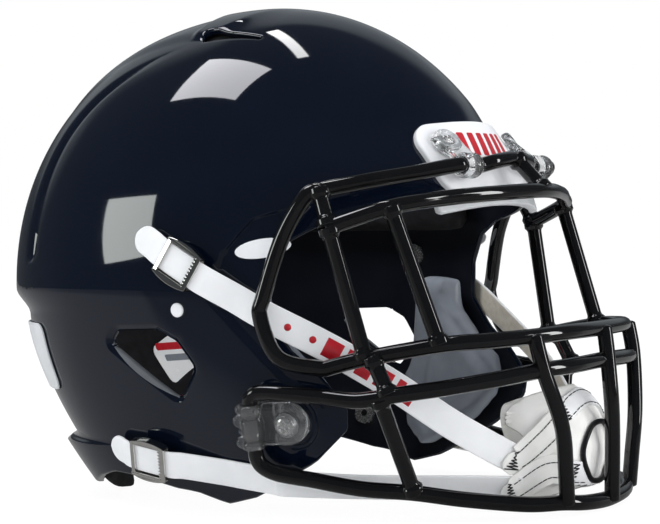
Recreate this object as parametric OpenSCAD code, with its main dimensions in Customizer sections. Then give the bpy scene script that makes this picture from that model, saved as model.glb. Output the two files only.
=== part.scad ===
// American football helmet, youth size: moulded shell, welded wire face guard held by clear clips,
// padded liner and a four-point chin strap with snap buckles.
// Millimetres, +Z up, the face looks along -Y, +X is the wearer's left.
// Origin on the floor, under the middle of the whole helmet.

/* [Shell] */
// Widest outside width of the shell
shell_w = 215; // [205:1:225]
// Wall of the shell
shell_wall = 3.6; // [3:0.1:4.4]
// Height of the widest level above the floor
equator_z = 100; // [97:1:103]
// Rise of the crown above the widest level
dome_rise = 133; // [128:1:140]
// Reach of the shell forward of its widest station
front_len = 128.5; // [125:0.5:132]
// Reach of the shell behind its widest station
rear_len = 134.8; // [130:0.2:140]
// How far the sides draw in from the widest level down to the floor
side_tuck = 21.8; // [18:0.2:25]
// How far the upper back stands out over the panel below it
overhang = 10; // [7:0.5:13]
// How far the back panel draws in from the overhang down to the floor
rear_tuck = 54; // [48:1:58]
// How far the neck lip stands out again below its crease
neck_lip = 12; // [8:0.5:13]
// Width of the raised band over the crown
band_w = 84; // [70:1:96]
// Height of the raised band
band_h = 2.4; // [1:0.1:3.5]
// Length of each crown vent
vent_len = 34; // [24:1:40]
// Width of each crown vent
vent_w = 5; // [3:0.5:7]

/* [Face guard] */
// Outside diameter of the coated wire
wire_d = 7; // [6:0.1:7.4]
// How far the upper side wires stand off the shell, centre to surface
frame_standoff = 9.5; // [8.5:0.5:12]
// Half of the guard's width at the eye bars
guard_half_w = 99.5; // [96:0.5:104]
// How far the front of the guard lies ahead of the origin
guard_reach = 148.5; // [147:0.5:152]

/* [Clips and screws] */
// Distance of each top clip's loop from the middle
top_clip_x = 35; // [34:0.5:37]
// Distance of each top clip's screw from the middle
top_screw_x = 31; // [29:0.5:33]
// Length of each top clip's loop along the bar
top_clip_len = 9; // [8:0.5:10]
// Plastic around the wire in every clip
clip_wall = 2; // [1.6:0.1:2.4]
// Thickness of a side clip's plate
side_clip_t = 4; // [3:0.1:5]
// Height of a side clip
side_clip_h = 20; // [16:0.5:22]
// Distance from a side clip's wire to its screw
side_clip_reach = 15.5; // [14.5:0.5:16.5]
// Diameter of the screw shanks
screw_d = 5; // [4:0.1:5.5]
// Diameter of the screw heads
screw_head_d = 9; // [8:0.1:10]

/* [Chin strap] */
// Width of the straps
strap_w = 13; // [11:0.5:14]
// Thickness of the straps
strap_t = 1.5; // [1.2:0.1:2]
// Diameter of the snap studs
stud_d = 5; // [4:0.1:6]
// Width of the chin cup
cup_w = 66; // [60:1:70]
// Height of the chin cup
cup_h = 46; // [40:1:50]
// Wall of the chin cup
cup_wall = 3.5; // [2.5:0.1:4.5]

/* [Liner] */
// Thickness of the crown, side and back pads
pad_t = 15; // [10:0.5:18]
// Thickness of the jaw pads
jaw_pad_t = 15; // [11:0.5:17]
// Thickness of the brow pad
brow_pad_t = 13; // [9:0.5:16]

/* [Trim] */
// Thickness of the front bumper
bumper_t = 2.4; // [2:0.1:3]
// Half of the front bumper's width
bumper_half_w = 42; // [40:0.5:44]
// Diameter of the hole plugs
plug_d = 6.4; // [5:0.1:8]

/* [Hidden] */
$fn = 40;

// Gap between pieces that lie against each other
seat_gap = 0.3;
// Gap between the shell and the pads stuck into it
pad_gap = 0.6;
// Radial clearance of a post in a bore it turns or slides in
run_fit = 0.06;
// Radial clearance of a screw in its hole
hole_fit = 0.25;
wire_r = wire_d / 2;

// Plan station of the widest section
mid_y = 22;
// Powers of the rounded sections: side view, front half, back half
side_power = 1.95;
front_power = 2;
rear_power = 2.15;
plan_front_power = 1.9;
plan_rear_power = 2.3;
// The jaw flaps run straighter forward than the brow
jaw_len = 54;
jaw_blend = 55;
// The brow stands a little ahead of the dome and is squarer in plan
brow_flare = 1.2;
brow_flare_top = 178;
brow_flare_h = 32;
brow_power_gain = 0.3;
side_tuck_power = 1.7;
rear_tuck_power = 1.6;
// Levels of the overhang and of the neck crease
overhang_top = 101;
overhang_h = 12;
lip_z = 31;
lip_h = 4;

// Shell surface

function smooth(t) = let (c = min(1, max(0, t))) c * c * (3 - 2 * c);
function rounded(u, power) = u >= 1 ? 0 : pow(1 - pow(max(0, u), power), 1 / power);
function below(z) = max(0, equator_z - z);
function up_share(z, inset) = (z - equator_z) / (dome_rise - inset);

function half_w(z, inset) =
    (shell_w / 2 - inset) * rounded(up_share(z, inset), side_power)
    - side_tuck * pow(below(z) / equator_z, side_tuck_power);
function front_reach(z, inset) =
    (front_len - inset) * rounded(up_share(z, inset), front_power)
    + jaw_len * smooth(below(z) / jaw_blend)
    + brow_flare * brow_share(z);
overhang_foot = overhang_top - overhang_h;
function rear_reach(z, inset) =
    (rear_len - inset) * rounded(up_share(z, inset), rear_power)
    - overhang * smooth((overhang_top - z) / overhang_h)
    - rear_tuck * pow(max(0, overhang_foot - z) / overhang_foot, rear_tuck_power)
    + neck_lip * smooth((lip_z - z) / lip_h);
function brow_share(z) = smooth((brow_flare_top - z) / brow_flare_h);
function front_plan_power(z) = plan_front_power + brow_power_gain * brow_share(z);
// The plan is a plain oval at its widest station and takes its own power ahead of it and behind it
plan_blend = 60;
function plan_power(y, z) = 2
    + (front_plan_power(z) - 2) * smooth((mid_y - y) / plan_blend)
    + (plan_rear_power - 2) * smooth((y - mid_y) / plan_blend);

// Height of the crown band over the plain dome, fading behind the vents and towards the brow
band_edge = 9;
band_tail_y = 36;
band_tail_len = 8;
band_tail_share = 0.45;
band_front_z = 168;
band_rear_z = 100;
band_fade = 18;
function band(x, y, z) = band_h
    * smooth((band_w / 2 - abs(x)) / band_edge + 0.5)
    * (1 - (1 - band_tail_share) * smooth((y - band_tail_y) / band_tail_len))
    * smooth((z - (y < mid_y ? band_front_z : band_rear_z)) / band_fade);

// Level: -1 at the floor, 0 at the widest level, 1 at the crown
function level_z(level, inset) = level < 0
    ? equator_z * (1 + level)
    : equator_z + (dome_rise - inset) * sin(90 * level);
function z_level(z) = z < equator_z ? z / equator_z - 1 : asin((z - equator_z) / dome_rise) / 90;
// Angle: 0 at the face, 90 at the wearer's left, 180 at the back
function plain_skin(z, angle, inset) =
    let (
        forward = cos(angle) > 0,
        share = 2 / (forward ? front_plan_power(z) : plan_rear_power),
        reach = forward ? front_reach(z, inset) : rear_reach(z, inset),
        along = pow(abs(cos(angle)), share),
        y = mid_y - sign(cos(angle)) * reach * along
    )
    [half_w(z, inset) * sign(sin(angle)) * rounded(along, plan_power(y, z)), y, z];
function skin(level, angle, inset) =
    let (
        p = plain_skin(level_z(level, inset), angle, inset),
        out = p - [0, mid_y, equator_z]
    )
    p + out / norm(out) * band(p[0], p[1], p[2]);

// Distance of the side wall from the middle plane at a station and height
function side_x(y, z) =
    let (reach = y < mid_y ? front_reach(z, 0) : rear_reach(z, 0))
    half_w(z, 0) * rounded(abs(y - mid_y) / reach, plan_power(y, z));
// Station of the forehead at a distance from the middle and a height
function front_y(x, z) =
    mid_y - front_reach(z, 0) * rounded(abs(x) / half_w(z, 0), front_plan_power(z));

function unit(v) = v / norm(v);
probe = 0.5;
function side_point(y, z) = [side_x(y, z), y, z];
function side_normal(y, z) = unit([
    1,
    (side_x(y - probe, z) - side_x(y + probe, z)) / (2 * probe),
    (side_x(y, z - probe) - side_x(y, z + probe)) / (2 * probe)
]);
function front_normal(x, z) = unit([
    (front_y(x + probe, z) - front_y(x - probe, z)) / (2 * probe),
    -1,
    (front_y(x, z + probe) - front_y(x, z - probe)) / (2 * probe)
]);
// Axes of a seat on the surface: along (backward), up and out
function seat_axes(out, lean) =
    let (
        up0 = unit([0, 0, 1] - out * out[2]),
        back0 = cross(up0, out)
    )
    [back0 * cos(lean) + up0 * sin(lean), up0 * cos(lean) - back0 * sin(lean), out];
function seat_point(origin, axes, p) = origin + axes[0] * p[0] + axes[1] * p[1] + axes[2] * p[2];
module at_seat(origin, axes) {
    multmatrix([for (i = [0:2]) [axes[0][i], axes[1][i], axes[2][i], origin[i]]]) children();
}
module on_side(y, z, lean = 0) {
    at_seat(side_point(y, z), seat_axes(side_normal(y, z), lean)) children();
}
module to_right() {
    mirror([1, 0, 0]) children();
}
module both() {
    children();
    to_right() children();
}

// Solids from grids of points

function grid_faces(rows, cols, start, flip) = [
    for (r = [0:rows - 2], c = [0:cols - 2])
        let (
            a = start + r * cols + c,
            b = a + 1,
            d = a + cols,
            e = d + 1
        )
        each flip ? [[a, b, e], [a, e, d]] : [[a, e, b], [a, d, e]]
];
function rim_faces(ring_a, ring_b) = [
    for (i = [0:len(ring_a) - 1])
        let (j = (i + 1) % len(ring_a))
        each [[ring_a[i], ring_a[j], ring_b[j]], [ring_a[i], ring_b[j], ring_b[i]]]
];
// A slab between two grids of the same size
module slab(outer, inner) {
    rows = len(outer);
    cols = len(outer[0]);
    count = rows * cols;
    edge = concat(
        [for (c = [0:cols - 1]) c],
        [for (r = [1:rows - 1]) r * cols + cols - 1],
        [for (c = [cols - 2:-1:0]) (rows - 1) * cols + c],
        [for (r = [rows - 2:-1:1]) r * cols]
    );
    polyhedron(
        [for (row = outer) each row, for (row = inner) each row],
        concat(
            grid_faces(rows, cols, 0, false),
            grid_faces(rows, cols, count, true),
            rim_faces(edge, [for (i = edge) i + count])
        )
    );
}
shell_turns = 72;
turn = 360 / shell_turns;
dome_rows = 15;
// Levels closer than this share one row
level_merge = 0.02;
skirt_levels = [
    for (i = [0:2]) i / 2 * (lip_z - lip_h),
    for (i = [1:3]) lip_z - lip_h + lip_h * i / 3,
    for (i = [1:5]) lip_z + (overhang_foot - lip_z) * i / 5,
    for (i = [1:3]) overhang_foot + overhang_h * i / 4
];
shell_levels = concat(
    [for (z = skirt_levels) z / equator_z - 1],
    [for (i = [0:dome_rows - 1]) i / dome_rows]
);
// A pad or plate that follows the shell's grid between two heights and two angles
module patch(z_low, z_high, angle_a, angle_b, angle_step, inset_out, inset_in) {
    low = z_level(z_low);
    high = z_level(z_high);
    levels = concat(
        [low],
        [for (l = shell_levels) if (l > low + level_merge && l < high - level_merge) l],
        [high]
    );
    function sheet(inset) = [
        for (l = levels) [for (a = [angle_a:angle_step:angle_b]) skin(l, a, inset)]
    ];
    slab(sheet(inset_out), sheet(inset_in));
}

// Closed solid of the shell's form, drawn in by an inset
module dome(inset) {
    rows = len(shell_levels);
    pole = rows * shell_turns;
    function ring(level) = [for (t = [0:shell_turns - 1]) skin(level, turn * t, inset)];
    function next(t) = (t + 1) % shell_turns;
    polyhedron(
        [for (l = shell_levels) each ring(l), [0, mid_y, equator_z + dome_rise - inset + band_h]],
        concat(
            [[for (t = [0:shell_turns - 1]) t]],
            [for (r = [0:rows - 2], t = [0:shell_turns - 1])
                let (
                    a = r * shell_turns + t,
                    b = r * shell_turns + next(t),
                    d = a + shell_turns,
                    e = b + shell_turns
                )
                each [[a, e, b], [a, d, e]]],
            [for (t = [0:shell_turns - 1]) [pole - shell_turns + t, pole, pole - shell_turns + next(t)]]
        )
    );
}

// Face opening, jaw flap and lower edge, seen from the side as [station, height]
brow_z = 139;
shell_outline = [
    [-160, brow_z + 3], [-101, brow_z], [-56, 129], [-44, 122], [-37, 108], [-36, 90],
    [-46, 75], [-58, 65], [-70, 51], [-69, 40], [-52, 25], [-20, 8], [-4, 4],
    [12, 9], [22, 10], [44, 14.5], [62, 15.5], [76, 12], [92, 6], [190, 6], [190, 260], [-160, 260]
];
edge_round = 5;
module side_outline() {
    rotate([90, 0, 90])
        linear_extrude(shell_w + 2 * edge_round, center = true)
            offset(r = edge_round)
                offset(r = -2 * edge_round)
                    offset(r = edge_round)
                        polygon(shell_outline);
}

// Forms pressed into the outside, drawn as outlines seen from the side
flange_depth = 1.2;
groove_depth = 0.9;
groove_w = 2.4;
module pressed(depth) {
    difference() {
        rotate([90, 0, 90]) linear_extrude(shell_w + 2 * edge_round, center = true) children();
        dome(depth);
    }
}
// The flange round the face opening lies lower than the shell behind its crease
flange_points = [
    [-86, brow_z + 10], [-67, brow_z + 4.5], [-28, brow_z - 6.5], [-15, 117], [-8, 99], [-42.5, 62],
    [-57, 53.5], [-60.5, 47.5], [-56.5, 40], [-38, 22], [-60, 10], [-110, 40], [-110, brow_z - 9]
];
flange_round = 3;
module flange_outline() {
    offset(r = flange_round) offset(r = -flange_round) polygon(flange_points);
}
// A groove follows the front end of each side clip
module clip_groove() {
    translate(side_screw)
        intersection() {
            difference() {
                circle(d = side_clip_h + 2 * groove_w, $fn = 48);
                circle(d = side_clip_h, $fn = 48);
            }
            translate([-side_clip_h, -side_clip_h]) square([side_clip_h, 2 * side_clip_h]);
        }
}

// Ear hole corners as [station, height]
ear_corners = [[45, 76], [41, 79], [20, 80], [9, 74], [5, 65], [12, 56]];
ear_round = 3;
ear_bevel = 2.5;
module ear_cut(reach, round_in, round_out) {
    hull()
        for (p = ear_corners)
            translate([0, p[0], p[1]])
                rotate([0, 90, 0])
                    translate([0, 0, reach[0]])
                        cylinder(h = reach[1] - reach[0], r1 = round_in, r2 = round_out, $fn = 16);
}
ear_x = side_x(25, 70);

// Crown vents beside the band
vent_x = 46;
vent_y = 15;
// Each vent narrows to a point at its front end
vent_tip_w = 0.3 * vent_w;
module vent_cut() {
    hull()
        for (end = [-1, 1])
            translate([vent_x, vent_y + end * (vent_len - vent_w) / 2, equator_z])
                cylinder(h = dome_rise, d = end == 1 ? vent_w : vent_tip_w, $fn = 20);
}
vent_dish = 2;
module vent_recess() {
    tip = side_tip_z(vent_x, vent_y);
    hull()
        for (end = [-1, 1])
            translate([vent_x, vent_y + end * vent_len / 2, tip[end == 1 ? 1 : 0] + 2 * vent_w - vent_dish])
                sphere(r = 2 * vent_w, $fn = 24);
}
// Heights of the dome at the two ends of a vent
function dome_z(x, y) = equator_z + dome_rise * rounded(
    norm([x / (shell_w / 2), (y - mid_y) / (y < mid_y ? front_len : rear_len)]), side_power);
function side_tip_z(x, y) = [dome_z(x, y - vent_len / 2), dome_z(x, y + vent_len / 2)];

// Seats of the hardware on the left side, as [station, height]
upper_stud = [2.5, 112.5];
lower_stud = [29, 26];
plug_seat = [6.8, 92.7];
side_screw = [-43.5, 43.5];
// Lean of each buckle and of the strap it holds, along the shell
upper_lean = 31;
lower_lean = 10;
stud_hole_d = 4;
plug_stem_d = plug_d - 2.2;
nut_collar_d = screw_d + 2;
module drilled(d) {
    cylinder(h = 6 * shell_wall, d = d, center = true, $fn = 24);
}
module side_holes() {
    for (s = [upper_stud, lower_stud])
        on_side(s[0], s[1]) drilled(stud_hole_d);
    on_side(plug_seat[0], plug_seat[1]) drilled(plug_stem_d + 2 * seat_gap);
    on_side(side_screw[0], side_screw[1]) drilled(nut_collar_d + 2 * seat_gap);
    at_top_screw() drilled(screw_d + 2 * hole_fit);
}

module shell() {
    color("#141d2e")
        difference() {
            intersection() {
                dome(0);
                side_outline();
            }
            dome(shell_wall);
            pressed(flange_depth) flange_outline();
            pressed(groove_depth) clip_groove();
            both() {
                ear_cut([0, shell_w], ear_round, ear_round);
                ear_cut([ear_x - ear_bevel, ear_x + 2 * ear_bevel], ear_round, ear_round + 3 * ear_bevel);
                vent_cut();
                vent_recess();
                side_holes();
            }
        }
}

// Trim

bumper_low = brow_z + 1;
bumper_high = 174;
bumper_round = 9;
bumper_angle = 5 * turn;
module rounded_plate(w, low, high, r) {
    translate([-w / 2, low + r]) square([w, high - low - 2 * r]);
    translate([-w / 2 + r, low]) square([w - 2 * r, high - low]);
    for (x = [-1, 1], z = [low + r, high - r])
        translate([x * (w / 2 - r), z]) circle(r);
}
module front_bumper() {
    color("white")
        difference() {
            intersection() {
                patch(bumper_low, bumper_high, -bumper_angle, bumper_angle, turn,
                      -pad_gap - bumper_t, -pad_gap);
                rotate([90, 0, 0])
                    linear_extrude(2 * front_len)
                        rounded_plate(2 * bumper_half_w, bumper_low, bumper_high, bumper_round);
            }
            both()
                at_top_screw()
                    translate([0, 0, -3 * bumper_t]) cylinder(h = 6 * bumper_t, d = screw_d + 2 * hole_fit);
        }
}

rear_bumper_t = 1.2;
rear_bumper_angle = 11 * turn;
rear_bumper_low = 53;
rear_bumper_high = 85;
module rear_bumper() {
    color("gainsboro")
        patch(rear_bumper_low, rear_bumper_high, 180 - rear_bumper_angle, 180 + rear_bumper_angle, turn,
              -seat_gap - rear_bumper_t, -seat_gap);
}

plug_head_t = 1.2;
module hole_plugs() {
    color("white")
        both()
            on_side(plug_seat[0], plug_seat[1]) {
                translate([0, 0, seat_gap]) cylinder(h = plug_head_t, d = plug_d);
                translate([0, 0, -shell_wall]) cylinder(h = shell_wall + seat_gap, d = plug_stem_d);
            }
}

// Top clips: a loop round the brow bar and an arm up to the screw in the forehead

top_screw_z = 162;
top_screw_seat = [top_screw_x, front_y(top_screw_x, top_screw_z), top_screw_z];
top_screw_axes = seat_axes(front_normal(top_screw_x, top_screw_z), 0);
// The brow bar runs level and straight through the clips: this is the guard's swing axis
swing_z = 154;
clip_loop_r = wire_r + clip_wall;
clip_floor = pad_gap + bumper_t + seat_gap;
clip_inner_x = top_clip_x - top_clip_len / 2;
swing_y = front_y(clip_inner_x, swing_z) + (clip_floor + clip_loop_r) / front_normal(clip_inner_x, swing_z)[1];
clip_boss_d = screw_head_d + 3;
clip_boss_h = 4;
// The bar is a little fuller where it turns in the clips
pin_r = wire_r + 0.1;
pin_len = top_clip_len + 1;
rib_h = 0.7;
rib_w = 2.6;
top_loop = [top_clip_x, swing_y, swing_z];
loop_along = (top_loop - top_screw_seat) * top_screw_axes[0];
loop_up = (top_loop - top_screw_seat) * top_screw_axes[1];
module at_top_loop() {
    translate(top_loop) rotate([0, 90, 0]) children();
}
module at_top_screw() {
    at_seat(top_screw_seat, top_screw_axes) children();
}
module top_clip() {
    color("gainsboro", 0.6)
        difference() {
            union() {
                at_top_loop() {
                    cylinder(h = top_clip_len, r = clip_loop_r - rib_h, center = true);
                    for (end = [-1, 1])
                        translate([0, 0, end * (top_clip_len - rib_w) / 2])
                            cylinder(h = rib_w, r = clip_loop_r, center = true);
                }
                at_top_screw()
                    translate([0, 0, clip_floor])
                        linear_extrude(clip_boss_h) {
                            circle(d = clip_boss_d);
                            polygon([[-clip_boss_d / 2, 0], [clip_boss_d / 2, 0],
                                     [loop_along + top_clip_len / 2, loop_up],
                                     [loop_along - top_clip_len / 2, loop_up]]);
                        }
            }
            at_top_loop() cylinder(h = 2 * top_clip_len, r = pin_r + run_fit, center = true);
            at_top_screw() cylinder(h = 4 * clip_boss_h, d = screw_d + 2 * hole_fit);
        }
}
module top_clip_right() {
    to_right() top_clip();
}
module top_clip_left() {
    top_clip();
}

// A domed screw: head on its seat, shank down to its depth
head_h = 3;
module screw(top, depth) {
    translate([0, 0, top])
        rotate_extrude()
            intersection() {
                translate([0, -head_h]) circle(r = head_h * 2);
                square([screw_head_d / 2, head_h]);
            }
    translate([0, 0, -depth]) cylinder(h = top + depth, d = screw_d);
}
module top_clip_screws() {
    color("silver")
        both()
            at_top_screw()
                screw(clip_floor + clip_boss_h, shell_wall + 2);
}
// A nut on the inside of the shell, with a bore for the shank
nut_t = 2;
nut_d = 11;
module inner_nut(bore) {
    difference() {
        translate([0, 0, -shell_wall - 2 * seat_gap - nut_t]) cylinder(h = nut_t, d = nut_d);
        translate([0, 0, -4 * shell_wall]) cylinder(h = 4 * shell_wall, d = bore);
    }
}
module top_clip_nuts() {
    color("silver")
        both()
            at_top_screw()
                inner_nut(screw_d + 2 * run_fit);
}
module side_clip_nuts() {
    color("silver")
        both()
            on_side(side_screw[0], side_screw[1]) {
                inner_nut(screw_d);
                difference() {
                    translate([0, 0, -shell_wall - 2 * seat_gap - nut_t])
                        cylinder(h = shell_wall + nut_t, d = nut_collar_d);
                    translate([0, 0, -4 * shell_wall]) cylinder(h = 4 * shell_wall, d = screw_d);
                }
            }
}

// Snap studs and their nuts

stud_base_t = 1;
stud_base_d = 10;
stud_h = 4;
module snap_stud() {
    translate([0, 0, seat_gap]) cylinder(h = stud_base_t, d = stud_base_d);
    cylinder(h = stud_h, d = stud_d);
    translate([0, 0, -shell_wall - 2 * seat_gap - nut_t])
        cylinder(h = shell_wall + 2 * seat_gap + nut_t + seat_gap, d = stud_hole_d - 2 * hole_fit);
}
module snap_studs() {
    color("silver")
        both()
            for (s = [upper_stud, lower_stud])
                on_side(s[0], s[1]) snap_stud();
}
module stud_nuts() {
    color("silver")
        both()
            for (s = [upper_stud, lower_stud])
                on_side(s[0], s[1]) inner_nut(stud_hole_d - 2 * hole_fit + 2 * run_fit);
}

// Liner pads, each a slab that follows the inside of the shell

liner_out = shell_wall + pad_gap;
crown_z = equator_z + dome_rise;
crown_pad_low = crown_z - 28;
upper_pads_high = crown_z - 37;
side_pad_low = equator_z + 26;
rear_pad_low = equator_z + 4;
neck_pad_low = 3;
neck_pad_high = equator_z - 16;
brow_pad_low = brow_z + 3;
brow_pad_high = brow_z + 16;
module brow_pad() {
    color("#1c1c1e")
        patch(brow_pad_low, brow_pad_high, -45, 45, 2 * turn, liner_out, liner_out + brow_pad_t);
}
module crown_pad() {
    color("#1c1c1e")
        difference() {
            patch_cap(crown_pad_low, liner_out, liner_out + pad_t);
            both() translate([vent_x, vent_y, 0]) cylinder(h = 2 * crown_z, d = vent_w, $fn = 20);
        }
}
// A cap over the crown from a height upward
cap_rows = 5;
cap_turns = 32;
module patch_cap(z_low, inset_out, inset_in) {
    low = z_level(z_low);
    function ring(i, inset) = [
        for (t = [0:cap_turns - 1]) skin(low + (0.96 - low) * i / cap_rows, 360 * t / cap_turns, inset)
    ];
    rings = concat(
        [for (i = [0:cap_rows]) ring(i, inset_out)],
        [for (i = [cap_rows:-1:0]) ring(i, inset_in)]
    );
    ring_solid(rings);
}
// Closed solid from a row of rings whose last ring meets its first
module ring_solid(rings) {
    n = len(rings);
    m = len(rings[0]);
    polyhedron(
        [for (r = rings) each r],
        [for (r = [0:n - 1], t = [0:m - 1])
            let (
                s = (r + 1) % n,
                a = r * m + t,
                b = r * m + (t + 1) % m,
                d = s * m + t,
                e = s * m + (t + 1) % m
            )
            each [[a, e, b], [a, d, e]]]
    );
}
module side_pad() {
    color("#1c1c1e")
        patch(side_pad_low, upper_pads_high, 60, 120, 2 * turn, liner_out, liner_out + pad_t);
}
module side_pad_right() {
    to_right() side_pad();
}
module side_pad_left() {
    side_pad();
}
module rear_pad() {
    color("#1c1c1e")
        patch(rear_pad_low, upper_pads_high, 130, 230, 2 * turn, liner_out, liner_out + pad_t);
}
module neck_pad() {
    color("#1c1c1e")
        patch(neck_pad_low, neck_pad_high, 125, 235, 2 * turn, liner_out, liner_out + pad_t);
}
jaw_gap = 3.4;
module jaw_pad() {
    color("#3c4450")
        intersection() {
            patch(8, equator_z + 4, 45, 90, turn, shell_wall + jaw_gap, shell_wall + jaw_gap + jaw_pad_t);
            jaw_pad_outline();
        }
}
// The jaw pad shows past the edge of the opening, seen from the side
jaw_pad_show = 1;
jaw_pad_points = [[-36 - jaw_pad_show, 102], [-36 - jaw_pad_show, 88], [-48, 75], [-60, 63], [-66, 52],
                  [-64, 42], [-48, 26], [-18, 12], [-6, 22], [-2, 50], [-10, 102]];
module jaw_pad_outline() {
    rotate([90, 0, 90])
        linear_extrude(shell_w, center = true)
            polygon(jaw_pad_points);
}
module jaw_pad_right() {
    to_right() jaw_pad();
}
module jaw_pad_left() {
    jaw_pad();
}
jaw_snap_seats = [[-24, 26], [-30, 72]];
module jaw_pad_snaps() {
    color("#1c1c1e")
        both()
            for (s = jaw_snap_seats)
                on_side(s[0], s[1])
                    translate([0, 0, -shell_wall - jaw_gap + seat_gap])
                        cylinder(h = jaw_gap - 3 * seat_gap, d = 9);
}

// Chin cup, a dished pad with its hollow to the chin

cup_y = 27.5 - guard_reach;
cup_z = 28;
cup_tilt = 18;
cup_depth = 27;
cup_round = 14;
cup_r = (pow(cup_w / 2, 2) + pow(cup_depth, 2)) / (2 * cup_depth);
module at_cup() {
    translate([0, cup_y, cup_z]) rotate([90 - cup_tilt, 0, 0]) children();
}
module cup_dish(outer_r, wall, w, h) {
    intersection() {
        rotate_extrude($fn = 64)
            difference() {
                intersection() {
                    translate([0, cup_depth - cup_r]) circle(r = outer_r);
                    square([cup_w, cup_depth + cup_r]);
                }
                translate([0, cup_depth - cup_r]) circle(r = outer_r - wall);
            }
        linear_extrude(cup_depth + cup_r)
            rounded_plate(w, -h / 2, h / 2, cup_round);
    }
}
module chin_cup() {
    color("ivory") at_cup() cup_dish(cup_r, cup_wall, cup_w, cup_h);
}
lining_t = 5;
lining_inset = 3;
module chin_cup_lining() {
    color("whitesmoke")
        at_cup()
            cup_dish(cup_r - cup_wall - seat_gap, lining_t, cup_w - 4 * lining_inset, cup_h - 2 * lining_inset);
}

// Straps: flat ribbons along a route that lies on the shell and then runs free to the chin cup

function curve_point(p, i, t) =
    let (
        n = len(p) - 1,
        a = p[max(0, i - 1)],
        b = p[i],
        c = p[min(n, i + 1)],
        d = p[min(n, i + 2)]
    )
    0.5 * (2 * b + (c - a) * t + (2 * a - 5 * b + 4 * c - d) * t * t + (3 * b - a - 3 * c + d) * t * t * t);
function curve(p, steps) = concat(
    [for (i = [0:len(p) - 2], s = [0:steps - 1]) curve_point(p, i, s / steps)],
    [p[len(p) - 1]]
);
function heading(p, i) = unit(p[min(len(p) - 1, i + 1)] - p[max(0, i - 1)]);
// A station of a strap is a point and the direction that the strap faces there
function station(p, face) = [p[0], p[1], p[2], face[0], face[1], face[2]];
function spot(s) = [s[0], s[1], s[2]];
function facing(s, t) = let (out = [s[3], s[4], s[5]]) unit(out - t * (out * t));
tail_tip_share = 0.35;
module ribbon(route, w, t) {
    n = len(route) - 1;
    line = [for (s = route) spot(s)];
    // The first end of the strap is rounded
    function width_share(i) =
        let (s = min(1, 2 * norm(line[i] - line[0]) / w))
        max(tail_tip_share, sqrt(1 - pow(1 - s, 2)));
    function corner(i, a, f) =
        let (
            face = facing(route[i], heading(line, i)),
            across = cross(heading(line, i), face)
        )
        line[i] + across * (a * w / 2 * width_share(i)) + face * (f * t / 2);
    polyhedron(
        [for (i = [0:n]) each [corner(i, -1, -1), corner(i, 1, -1), corner(i, 1, 1), corner(i, -1, 1)]],
        concat(
            [[0, 2, 1], [0, 3, 2], [4 * n, 4 * n + 1, 4 * n + 2], [4 * n, 4 * n + 2, 4 * n + 3]],
            [for (i = [0:n - 1], k = [0:3])
                let (
                    a = 4 * i + k,
                    b = 4 * i + (k + 1) % 4
                )
                each [[a, b + 4, a + 4], [a, b, b + 4]]]
        )
    );
}
// A point over the shell, at a height above its skin
function over_side(y, z, lift) = side_point(y, z) + side_normal(y, z) * lift;
// Stations of a strap at its buckle, over the shell and on its free run to the chin
function at_buckle(stud, lean, along, lift) =
    let (axes = seat_axes(side_normal(stud[0], stud[1]), lean))
    station(side_point(stud[0], stud[1]) + axes[0] * along + axes[2] * lift, axes[2]);
function on_shell(y, z) = station(over_side(y, z, strap_lie), side_normal(y, z));
strap_face_from = [0, -20, 60];
function free(x, y, z) = station([x, y, z], unit([x, y, z] - strap_face_from));
strap_lie = strap_t / 2 + 0.8;
buckle_len = 19.5;
buckle_floor = stud_h + seat_gap;
buckle_plate_t = 0.8;
strap_ride = buckle_floor + buckle_plate_t + seat_gap + strap_t / 2;
strap_step = 3;
strap_end_x = cup_w / 2 + 1.2;
strap_end_y = cup_y - 4;
upper_route = [
    at_buckle(upper_stud, upper_lean, 28, strap_lie + 0.5),
    at_buckle(upper_stud, upper_lean, 18, strap_lie + 2),
    at_buckle(upper_stud, upper_lean, buckle_len / 2, strap_ride),
    at_buckle(upper_stud, upper_lean, -buckle_len / 2, strap_ride),
    at_buckle(upper_stud, upper_lean, -18, strap_lie + 2.2),
    on_shell(-22, 97.8), on_shell(-36, 89.6),
    free(88, cup_y + 61, 75.5), free(75, cup_y + 37, 59), free(60, cup_y + 18, 42), free(46, cup_y + 4, 30),
    free(strap_end_x, strap_end_y, 22.5)
];
lower_route = [
    at_buckle(lower_stud, lower_lean, 25, strap_lie + 0.6),
    at_buckle(lower_stud, lower_lean, 18, strap_lie + 2),
    at_buckle(lower_stud, lower_lean, buckle_len / 2, strap_ride),
    at_buckle(lower_stud, lower_lean, -buckle_len / 2, strap_ride),
    at_buckle(lower_stud, lower_lean, -18, strap_lie + 2.2),
    for (i = [0:4]) on_shell(-6 - 8 * i, 20 - i),
    free(74, cup_y + 59, 13.5), free(60, cup_y + 37, 12.5), free(48, cup_y + 18, 12),
    free(strap_end_x, strap_end_y, 11)
];
module strap_upper() {
    color("white") ribbon(curve(upper_route, strap_step), strap_w, strap_t);
}
module strap_lower() {
    color("white") ribbon(curve(lower_route, strap_step), strap_w, strap_t);
}
module strap_upper_right() {
    to_right() strap_upper();
}
module strap_upper_left() {
    strap_upper();
}
module strap_lower_right() {
    to_right() strap_lower();
}
module strap_lower_left() {
    strap_lower();
}

// Buckles: a plate with rails and two bars over the strap, one bar toothed

rail_w = 2.6;
rail_gap = 1.6;
buckle_w = strap_w + rail_gap + 2 * rail_w;
bar_t = 1.5;
bar_w = 2.4;
bar_z = strap_ride + strap_t / 2 + seat_gap;
tooth_count = 7;
tooth = 1;
buckle_round = 2;
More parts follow.
